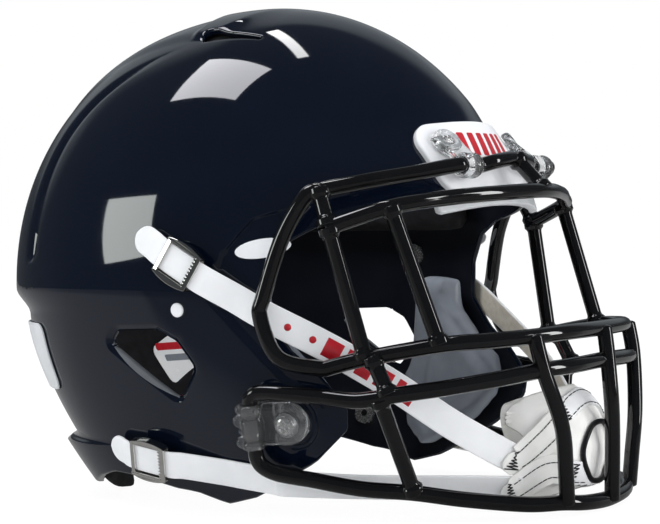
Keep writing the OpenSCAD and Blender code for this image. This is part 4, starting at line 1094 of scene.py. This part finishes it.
for side, sign in SIDES:
    for level, route in (("upper", upper_route), ("lower", lower_route)):
        shape, index = ribbon(route, STRAP_W, STRAP_T)
        made = mesh_piece(f"chin_strap_{level}_{side}", on_side(shape, sign), [STRAP, STRAP_BACK], None,
                          [f"strap_{level}_{side}"], None, index)
        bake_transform(made)


def strap_print(route, marks, lift):
    """Thin closed patches on a strap's outside, each with its start, end, half width and roundness."""
    tracks = ribbon_frames(route, 24)
    run = run_along(tracks[0])
    t = np.linspace(0, 1, 13)
    parts = []
    for start, end, half, is_round in marks:
        share = np.sqrt(np.maximum(0.02, 1 - (2 * t - 1) ** 2)) if is_round else np.ones(len(t))
        line, side, face = (at_run(start + (end - start) * t, run, v) for v in tracks)
        aside = unit(side) * (half * share)[:, None]
        corners = ((-1, lift), (1, lift), (1, lift - 0.2), (-1, lift - 0.2))
        parts.append(loft(np.stack([line + aside * u + unit(face) * v for u, v in corners], 1)))
    return joined(parts)


# Two dots, then a row of bars, each with its start and length
PRINT_DOTS = (85.6, 97.8)
PRINT_BARS = ((103.5, 8), (114, 3.5), (120, 7), (129.5, 7), (139, 3.5), (145, 3.5))
strap_marks = [(s - 1.6, s + 1.6, 1.6, True) for s in PRINT_DOTS]
strap_marks += [(s, s + length, 4.2, False) for s, length in PRINT_BARS]
print_shape = strap_print(upper_route, strap_marks, STRAP_T / 2 + 0.06)
for side, sign in SIDES:
    mesh_piece(f"strap_print_{side}", on_side(print_shape, sign), RED, "helmet", [])


# Buckles and snap sockets

def plate_mesh(outlines, thick, bevel):
    """Points and faces of a flat plate with bevelled edges, from closed outlines: the outside, then holes."""
    data = bpy.data.curves.new("plate", "CURVE")
    data.dimensions = "2D"
    data.fill_mode = "BOTH"
    data.extrude = thick / 2 - bevel
    data.bevel_depth = bevel
    data.bevel_resolution = 2
    data.offset = -bevel
    for outline in outlines:
        spline = data.splines.new("POLY")
        spline.points.add(len(outline) - 1)
        for p, (x, y) in zip(spline.points, outline):
            p.co = (x, y, 0, 1)
        spline.use_cyclic_u = True
    holder = bpy.data.objects.new("plate", data)
    scene.collection.objects.link(holder)
    bpy.context.view_layer.update()
    made = bpy.data.meshes.new_from_object(holder.evaluated_get(bpy.context.evaluated_depsgraph_get()))
    pts = np.array([v.co for v in made.vertices])
    fcs = [tuple(p.vertices) for p in made.polygons]
    bpy.data.objects.remove(holder)
    bpy.data.curves.remove(data)
    bpy.data.meshes.remove(made)
    return pts, fcs


BUCKLE_W = STRAP_W + 1.6 + 2 * 2.6
BAR_W, BAR_T = 2.4, 1.5
BAR_Z = STRAP_RIDE + STRAP_T / 2 + SEAT_GAP
RAIL_BOW = 1.6


def buckle_outline():
    """The frame's outside: square ends with round corners and rails that bow outward."""
    half, wide = BUCKLE_LEN / 2, BUCKLE_W / 2
    rail = [(x, wide - RAIL_BOW * (x / half) ** 2) for x in np.linspace(half, -half, 13)]
    return filleted(rail + [(-x, -y) for x, y in rail], 2.2, 4)


def toothed_window(teeth=9):
    """The window over the strap, with teeth along its front bar."""
    left, right, w = -BUCKLE_LEN / 2 + BAR_W, BUCKLE_LEN / 2 - BAR_W, STRAP_W / 2 + 0.5
    pts = [(right, w), (right, -w), (left, -w)]
    for k in range(teeth):
        pts += [(left + high, -w + 2 * w * (k + t) / teeth) for high, t in ((0, 0.1), (1.2, 0.5), (0, 0.9))]
    return pts + [(left, w)]


def raised(shape, height):
    return shape[0] + [0, 0, height], shape[1]


face_plate = plate_mesh([buckle_outline(), toothed_window()], BAR_T, 0.3)
face_plate[0][:, 2] -= 0.22 * np.maximum(0, face_plate[0][:, 0] - 7)
rail_height = BAR_Z + BAR_T - BUCKLE_FLOOR
rail_foot = STRAP_W / 2 + 0.8
rail_outline = sorted((p for p in buckle_outline() if p[1] > rail_foot), key=lambda p: p[0])
rail_outline = [(1 - BUCKLE_LEN / 2, rail_foot), *rail_outline, (BUCKLE_LEN / 2 - 1, rail_foot)]
rail = raised(plate_mesh([rail_outline], rail_height - 0.3, 0.3), BUCKLE_FLOOR + rail_height / 2)
buckle = joined([raised(face_plate, BAR_Z + BAR_T / 2),
                 raised(plate_mesh([buckle_outline()], 0.8, 0.2), BUCKLE_FLOOR + 0.4),
                 rail, (rail[0] * [1, -1, 1], flipped(rail[1]))])
socket = ring_mesh([(2.56, 1.7), (5.6, 1.7), (6, 2.1), (6, 3.8), (5.6, 4.2), (2.56, 4.2)])
for level, stud, lean in (("upper", UPPER_STUD, UPPER_LEAN), ("lower", LOWER_STUD, LOWER_LEAN)):
    for side, sign in SIDES:
        for name, node, shape in (("buckle_frame", "buckle", buckle), ("snap_socket", "socket", socket)):
            shape = on_side(seated(shape, *side_seat(stud, lean)), sign)
            made = mesh_piece(f"{name}_{level}_{side}", shape, NICKEL, f"snap_{level}_{side}",
                              [f"{node}_{level}_{side}"])
            made.data.set_sharp_from_angle(angle=math.radians(25))


# Padding

LINER = WALL + 1.4
PAD_T = 13.4
CLOTH = {"use_pressure": True, "uniform_pressure_force": 4.0, "quality": 4, "mass": 0.3,
         "tension_stiffness": 30, "compression_stiffness": 30}


def pad_base(z_range, angle_range, inset=LINER, thick=PAD_T, keep=None, step=(24, 36), rim=4.5):
    """A plain pad along the shell's inside, before it is swelled."""
    first, last = angle_range

    def inside(q):
        p = base(q)
        aside = (0.5 - np.abs(q[:, 1] - (first + last) / 2) / (last - first)) * (last - first) * 1.6
        edge = np.minimum(aside, np.minimum(p[:, 2] - z_range[0], z_range[1] - p[:, 2])) + 0.02
        return edge if keep is None else np.minimum(edge, keep(p))
    sheet = shell_grid(z_range, angle_range, step)
    return cut_wall(sheet, at_inset(inset), at_inset(inset + thick), inside, rim)[0]


def applied(made, kind, **settings):
    mod = made.modifiers.new(kind.lower(), kind)
    for key, value in settings.items():
        setattr(mod, key, value)
    bpy.ops.object.modifier_apply(modifier=mod.name)


def places(mesh):
    return np.array([v.co for v in mesh.vertices])


def move_to(mesh, points):
    mesh.vertices.foreach_set("co", points.astype(np.float32).ravel())
    mesh.update()


def swell(made, levels, cap_mm=1.2, frames=20):
    """Blows a closed pad up with the cloth solver, no point moving further than the cap."""
    bpy.ops.object.select_all(action="DESELECT")
    made.select_set(True)
    bpy.context.view_layer.objects.active = made
    applied(made, "REMESH", mode="VOXEL", voxel_size=5 * MM)
    rest = places(made.data)
    cloth = made.modifiers.new("cloth", "CLOTH")
    for key, value in CLOTH.items():
        setattr(cloth.settings, key, value)
    cloth.settings.effector_weights.gravity = 0
    cloth.point_cache.frame_start = 1
    cloth.point_cache.frame_end = frames
    for f in range(1, frames + 1):
        scene.frame_set(f)
    step = places(made.evaluated_get(bpy.context.evaluated_depsgraph_get()).to_mesh()) - rest
    made.modifiers.remove(cloth)
    scene.frame_set(1)
    size = np.linalg.norm(step, axis=1, keepdims=True)
    move_to(made.data, rest + step * np.minimum(1, cap_mm * MM / np.maximum(size, 1e-9)))
    applied(made, "SMOOTH", factor=0.5, iterations=3)
    applied(made, "SUBSURF", levels=levels, render_levels=levels)
    made.data.polygons.foreach_set("use_smooth", np.ones(len(made.data.polygons), bool))
    made.data.update()


def pad(name, node, shape, mat=FOAM, sign=1, mould=None):
    made = mesh_piece(name, on_side(shape, sign), mat, None)
    swell(made, 2 if mould else 1)
    if mould:
        p = places(made.data) / MM
        n = np.array([v.normal for v in made.data.vertices])
        inward = smooth((-sign * n[:, 0] - 0.3) / 0.4)
        move_to(made.data, (p + n * (mould(p) * inward)[:, None]) * MM)
    settle(made, "helmet", [node])


JAW = filleted([(-37, 102), (-37, 88), (-48, 75), (-60, 63), (-66, 52), (-64, 42), (-48, 26), (-18, 12),
                (-6, 22), (-2, 50), (-10, 102)], 5)


def jaw_keep(p):
    return outline_d(JAW, p)


def jaw_mould(p):
    """A channel pressed into the side toward the jaw, around a raised panel."""
    d = jaw_keep(p)
    below_top = smooth((90 - p[:, 2]) / 14)
    return below_top * (1.2 * smooth((d - 12) / 5) - 1.6 * np.exp(-((d - 10.5) / 2.6) ** 2))


def crown_shape():
    """A ring under the crown, open in the middle."""
    turn = np.linspace(0, 360, 48, endpoint=False)
    levels = np.linspace(z_level(206), 0.955, 15)
    outside = [skin(v, turn, LINER) for v in levels]
    inside = [skin(v, turn, LINER + PAD_T) for v in levels[::-1]]
    return loft(outside + inside, loop=True)


jaw_shape = pad_base((6, 108), (40, 95), WALL + 4.2, PAD_T, jaw_keep, (60, 60), 3.0)
side_shape = pad_base((126, 196), (60, 120))
for side, sign in SIDES:
    pad(f"jaw_pad_cover_{side}", f"jaw_pad_{side}", jaw_shape, VINYL, sign, jaw_mould)
    pad(f"side_liner_{side}", f"side_pad_{side}", side_shape, sign=sign)
pad("brow_liner", "brow_pad", pad_base((142, 155), (-45, 45), thick=11.4, step=(12, 50), rim=3.5))
pad("rear_liner", "rear_pad", pad_base((104, 196), (130, 230)))
pad("neck_liner", "neck_pad", pad_base((3, 84), (125, 235), step=(30, 50)))
pad("crown_liner", "crown_pad", crown_shape())


# Chin cup

CUP_R = ((CUP_W / 2) ** 2 + CUP_DEPTH ** 2) / (2 * CUP_DEPTH)
tilt = math.radians(90 - CUP_TILT)
CUP_AXES = np.array([[1, 0, 0], [0, math.cos(tilt), math.sin(tilt)], [0, -math.sin(tilt), math.cos(tilt)]])
CUP_AT = np.array([0, CUP_Y, CUP_Z])


def cup_surface(q, r):
    """Points of the dish at (x, y) of its plane, on a ball of that radius."""
    flat = np.hypot(q[:, 0], q[:, 1])
    lift = np.sqrt(np.maximum(r * r - flat ** 2, 0.3 * r)) + CUP_DEPTH - CUP_R
    return on_seat(np.stack([q[:, 0], q[:, 1], lift], -1), CUP_AT, CUP_AXES)


CUP_LOW, CUP_HIGH = -CUP_H / 2 - 3, CUP_H / 2
FRONT_OVAL = (0, -11, 14.5, 12.5)


def cup_outline(q, inset=0.0, r=14):
    up = q[:, 1] - (CUP_LOW + CUP_HIGH) / 2
    return rounded_box_d(q[:, 0], up, CUP_W / 2 - inset, (CUP_HIGH - CUP_LOW) / 2 - inset, r)


def oval_d(q):
    x, y, rx, ry = FRONT_OVAL
    return (1 - np.hypot((q[:, 0] - x) / rx, (q[:, 1] - y) / ry)) * (rx + ry) / 2


def cup_out(q, lift=0.0):
    """The cup's outside: soft folds toward the ends and a sunk oval panel in front."""
    x, y = q.T
    fold = 0.5 * np.sin(x * 0.42) * np.sin(y * 0.3 + 0.8) + 0.35 * np.sin(x * 0.21 + y * 0.5)
    return cup_surface(q, CUP_R + lift + fold * 0.6 - 1.3 * smooth(oval_d(q) / 2.5))


def cup_in(depth):
    return lambda q: cup_surface(q, CUP_R - depth)


def band_line(x, level):
    """Middle of a sewn-on band: the upper one arches over the cup, the lower one hangs under it."""
    return 14.5 - 16 * (x / 31) ** 2 if level > 0 else -20.5 + 9 * (x / 31) ** 2


BAND_HALF = 5.2
cup_u, cup_t = grid(np.linspace(-CUP_W / 2 - 1, CUP_W / 2 + 1, 72),
                    np.linspace(CUP_LOW - 1, CUP_HIGH + 1, 60))
cup_sheet = (cup_u, cup_t[:, ::-1])
shape = cut_wall(cup_sheet, cup_out, cup_in(3.5), cup_outline, 1.6, [(oval_d, (0.0, 2.5))])[0]
mesh_piece("chin_cup_shell", shape, LEATHER, "helmet", ["chin_cup"])
shape = cut_wall(cup_sheet, cup_in(3.9), cup_in(8.4), lambda q: cup_outline(q, 5.0, 11), 2.0)[0]
mesh_piece("chin_cup_pad", shape, LINING, "helmet", ["chin_cup_lining"])
for name, level in (("upper", 1), ("lower", -1)):
    def band_keep(q, level=level):
        within = BAND_HALF - np.abs(q[:, 1] - band_line(q[:, 0], level))
        return np.minimum(np.minimum(within, cup_outline(q, 0.4) + 0.2), -oval_d(q) - 0.6)
    shape = cut_wall(cup_sheet, lambda q: cup_out(q, 1.3), lambda q: cup_out(q, -0.3), band_keep, 0.6)[0]
    mesh_piece(f"cup_band_{name}", shape, STRAP, "helmet", [])


def thread(a, b, r=0.24):
    return tube([a, a + (b - a) * 0.5, b], r, 6)


def zigzag(corners):
    return [thread(a, b, 0.3) for a, b in zip(corners, corners[1:])]


def stitch_row(path, length=2.4, gap=1.1):
    """Short stitches along a line of points."""
    run = run_along(path)
    starts = np.arange(0.5, run[-1] - length, length + gap)
    return [thread(at_run(s, run, path), at_run(s + length, run, path)) for s in starts]


stitches = []
for level in (1, -1):
    xs = np.linspace(-29, 29, 80)
    for shift in (-3.4, 3.2):
        q = np.stack([xs, band_line(xs, level) + shift], -1)
        q = q[(cup_outline(q) > 1.2) & (oval_d(q) < -1.5)]
        for half in (q[q[:, 0] < 0], q[q[:, 0] >= 0]) if level < 0 else (q,):
            if len(half) > 3:
                stitches += stitch_row(cup_out(half, 1.4))
    for x in (-18, 18):
        q = np.array([(x + (1.35 if k % 2 else -1.35), band_line(x, level) - 4 + 0.75 * k)
                      for k in range(11)])
        stitches += zigzag(cup_out(q[cup_outline(q) > 0.8], 1.45))

TAB_LEN, TAB_T = 9, 1.3


def tab_route(strap, level):
    """From over the strap's end onto the cup's band."""
    line, _, face = ribbon_frames(strap, 24)
    back = np.linalg.norm(line - line[-1], axis=1)
    over = [np.argmin(np.abs(back - d)) for d in (TAB_LEN, 3.5)]
    seat = cup_out(np.array([(x, band_line(x, level)) for x in (28.5, 22.0)]), 1.9)
    out = unit(seat - on_seat([0, 0, CUP_DEPTH - CUP_R], CUP_AT, CUP_AXES))
    return np.vstack([np.hstack([line[over] + face[over] * 1.75, face[over]]), np.hstack([seat, out])])


tabs = []
for strap, level in ((upper_route, 1), (lower_route, -1)):
    route = tab_route(strap, level)
    tabs.append(ribbon(route, STRAP_W + 0.6, TAB_T, 12)[0])
    line, side, face = ribbon_frames(route, 24)
    run = run_along(line)
    corners = [(4.2 + (1.4 if k % 2 else -1.4), -4.8 + 0.8 * k) for k in range(13)]
    near = zigzag([at_run(d, run, line + u * side + (TAB_T / 2 + 0.15) * face) for d, u in corners])
    for u in (-3.6, 3.2):
        near += stitch_row((line + u * side + (TAB_T / 2 + 0.1) * face)[run > 6.5], 1.9, 0.5)
    stitches += near + [on_side(part, -1) for part in near]
mesh_piece("cup_tabs", both_sides(*tabs), LEATHER, "helmet", [])
mesh_piece("cup_stitching", joined(stitches), THREAD, "helmet", [])
turn = np.linspace(0, 2 * math.pi, 61)
oval_x, oval_y, oval_rx, oval_ry = FRONT_OVAL
oval = np.stack([oval_x + oval_rx * np.cos(turn), oval_y + oval_ry * np.sin(turn)], -1)
mesh_piece("cup_piping", tube(cup_out(oval, 0.9), 1.25, 10), PIPING, "helmet", [])

# A label inside, seen through the ear hole, with two plain bars
LABEL_IN = LINER + 14.9
LABEL_ANGLE, LABEL_Z, LABEL_LEAN = 157, 59, math.radians(20)


def label_place(q):
    return (LABEL_ANGLE - q[:, 1]) * MM_PER_DEGREE, base(q)[:, 2] - LABEL_Z


def label_keep(q):
    a, b = label_place(q)
    c, s = math.cos(LABEL_LEAN), math.sin(LABEL_LEAN)
    return rounded_box_d(a * c + b * s - 6, b * c - a * s - 3.2, 24.6, 10.3, 4)


patch_piece("inner_label", (40, 84), (134, 178), LABEL_IN, LABEL_IN + 0.3, label_keep, 0.08, LABEL, [],
            (40, 44))
for name, middle, half, high, mat in (("upper", (-6, 7), 12, 1.9, RED), ("lower", (-2, 1), 11, 1.7, VINYL)):
    def label_bar_keep(q, middle=middle, half=half, high=high):
        a, b = label_place(q)
        return rounded_box_d(a - middle[0], b - middle[1], half, high, 0.5)
    patch_piece(f"inner_label_bar_{name}", (55, 70), (144, 170), LABEL_IN + 0.25, LABEL_IN + 0.4,
                label_bar_keep, 0.04, mat, [], (24, 40))

# Carried-over solids take their finish
for node, mat in (("snap_studs", NICKEL), ("stud_nuts", STEEL), ("top_clip_nuts", STEEL),
                  ("side_clip_nuts", STEEL), ("jaw_pad_snaps", PIPING)):
    nodes[node].data.materials.clear()
    nodes[node].data.materials.append(mat)


# Studio

WHITE_LIGHT = (1, 1, 1, 1)
INSIDE_CLEAR = 0.8


def remap(source, *span):
    """Eases a value from one span to another, given as low, high, new low and new high."""
    made = add(source.id_data, "ShaderNodeMapRange", source, *span, interpolation_type="SMOOTHSTEP")
    return made.outputs["Result"]


def math_node(operation, first, second):
    return add(first.id_data, "ShaderNodeMath", first, second, operation=operation).outputs[0]


def dot(source, vector):
    made = add(source.id_data, "ShaderNodeVectorMath", source, vector, operation="DOT_PRODUCT")
    return made.outputs["Value"]


def seen_share(path):
    """1 for what the eye sees, straight or through clear plastic; less for what is mirrored inside it."""
    unmirrored = math_node("LESS_THAN", path["Glossy Depth"], 0.5)
    share = math_node("MAXIMUM", unmirrored, INSIDE_CLEAR)
    through = math_node("MULTIPLY", path["Is Transmission Ray"], share)
    return math_node("MAXIMUM", path["Is Camera Ray"], through)


# The white floor ends on the camera's side along this line, as the shell mirrors it
FLOOR_EDGE_NORMAL = (-0.654, -0.756, 0)
FLOOR_EDGE_AT = 0.118
FLOOR_SHADE = 0.1


def floor_material():
    """White to the eye with a soft shadow; dimmer where the gloss mirrors it."""
    mat = bpy.data.materials.new("studio_floor")
    mat.use_nodes = True
    tree = mat.node_tree
    tree.nodes.clear()
    path = add(tree, "ShaderNodeLightPath").outputs
    place = add(tree, "ShaderNodeTexCoord").outputs["Object"]
    indirect = math_node("MAXIMUM", path["Is Transmission Ray"], path["Is Glossy Ray"])
    shining = math_node("MAXIMUM", path["Is Camera Ray"], indirect)
    side = dot(place, FLOOR_EDGE_NORMAL)
    away = add(tree, "ShaderNodeVectorMath", place, operation="LENGTH").outputs["Value"]
    lit = remap(side, FLOOR_EDGE_AT - 0.05, FLOOR_EDGE_AT + 0.03, 1.0, 0.12)
    in_gloss = math_node("MULTIPLY", lit, remap(away, 0.3, 3.0, 0.24, 0.1))
    seen = math_node("MULTIPLY", seen_share(path), 1.05)
    glow = add(tree, "ShaderNodeEmission", WHITE_LIGHT, math_node("MAXIMUM", seen, in_gloss))
    diffuse = add(tree, "ShaderNodeBsdfDiffuse", Color=(0.92, 0.92, 0.92, 1))
    share = math_node("MULTIPLY", shining, 1 - FLOOR_SHADE)
    mix = add(tree, "ShaderNodeMixShader", share, diffuse.outputs[0], glow.outputs[0])
    add(tree, "ShaderNodeOutputMaterial", Surface=mix.outputs[0])
    return mat


FLOOR_HALF, FLOOR_Z = 4.0, -0.0005
floor_corners = [(x * FLOOR_HALF, y * FLOOR_HALF, FLOOR_Z) for x, y in ((-1, -1), (1, -1), (1, 1), (-1, 1))]
floor_mesh = bpy.data.meshes.new("floor")
floor_mesh.from_pydata(floor_corners, [], [(0, 1, 2, 3)])
floor_mesh.materials.append(floor_material())
floor = bpy.data.objects.new("floor", floor_mesh)
scene.collection.objects.link(floor)

# The gloss mirrors a dark room, and a pale backdrop behind the helmet that ends at about 52 degrees up
ROOM_LEVEL = 0.07
GLOW_LEVEL = 0.26
GLOW_TOWARD = (0.849, 0.528, 0)
world = bpy.data.worlds.new("studio")
scene.world = world
world.use_nodes = True
tree = world.node_tree
tree.nodes.clear()
path = add(tree, "ShaderNodeLightPath").outputs
toward = add(tree, "ShaderNodeTexCoord").outputs["Generated"]
height = add(tree, "ShaderNodeSeparateXYZ", toward).outputs["Z"]
sides = remap(dot(toward, GLOW_TOWARD), 0.48, 0.7, 0.0, GLOW_LEVEL)
foot = remap(height, 0.12, 0.34, 0.0, 1.0)
top = remap(height, 0.76, 0.82, 1.0, 0.0)
glow = math_node("MULTIPLY", sides, math_node("MULTIPLY", foot, top))
open_room = add(tree, "ShaderNodeBackground", (0.95, 0.97, 1.0, 1), 0.97)
dark_room = add(tree, "ShaderNodeBackground", (0.85, 0.93, 1.0, 1), math_node("ADD", glow, ROOM_LEVEL))
backdrop = add(tree, "ShaderNodeBackground", WHITE_LIGHT, 1.0)
unseen = add(tree, "ShaderNodeMixShader", path["Is Glossy Ray"], open_room.outputs[0], dark_room.outputs[0])
mix = add(tree, "ShaderNodeMixShader", seen_share(path), unseen.outputs[0], backdrop.outputs[0])
add(tree, "ShaderNodeOutputWorld", Surface=mix.outputs[0])


def softbox(name, centre, along, across, radiance, color=(1, 1, 1), in_gloss=True):
    """A rectangular lamp with its middle and two edges given in millimetres, facing the helmet."""
    centre, along, across = Vector(centre) * MM, Vector(along) * MM, Vector(across) * MM
    x = along.normalized()
    z = x.cross(across).normalized()
    if z.dot(centre) < 0:
        z = -z
    y = z.cross(x)
    data = bpy.data.lights.new(name, "AREA")
    data.shape = "RECTANGLE"
    data.size, data.size_y = along.length, across.length
    data.color = color
    data.energy = radiance * math.pi * along.length * across.length
    lamp = bpy.data.objects.new(name, data)
    lamp.matrix_world = Matrix([[x[i], y[i], z[i], centre[i]] for i in range(3)] + [[0, 0, 0, 1]])
    lamp.visible_camera = lamp.visible_glossy = in_gloss
    scene.collection.objects.link(lamp)


softbox("softbox_over", (-225, 637, 1587), (499, -161, 116), (-346, -631, 224), 6.4, (0.95, 0.95, 1.0))
softbox("softbox_side", (-1135, 1127, 583), (-249, -302, 99), (-160, 48, -495), 5.5, (0.95, 1.0, 0.97))
softbox("softbox_front", (648, -1784, 600), (255, 86, 0), (0, 0, 1100), 9.0)
softbox("softbox_strip", (381, 347, 1660), (-408, -501, 243), (-70, 51, -12), 8.0)
softbox("fill_inside", (45, 5, 176), (40, 0, 0), (0, 40, 0), 22.0, in_gloss=False)
softbox("fill_front", (-200, -1500, 350), (600, 0, 0), (0, 0, 600), 5.2, in_gloss=False)
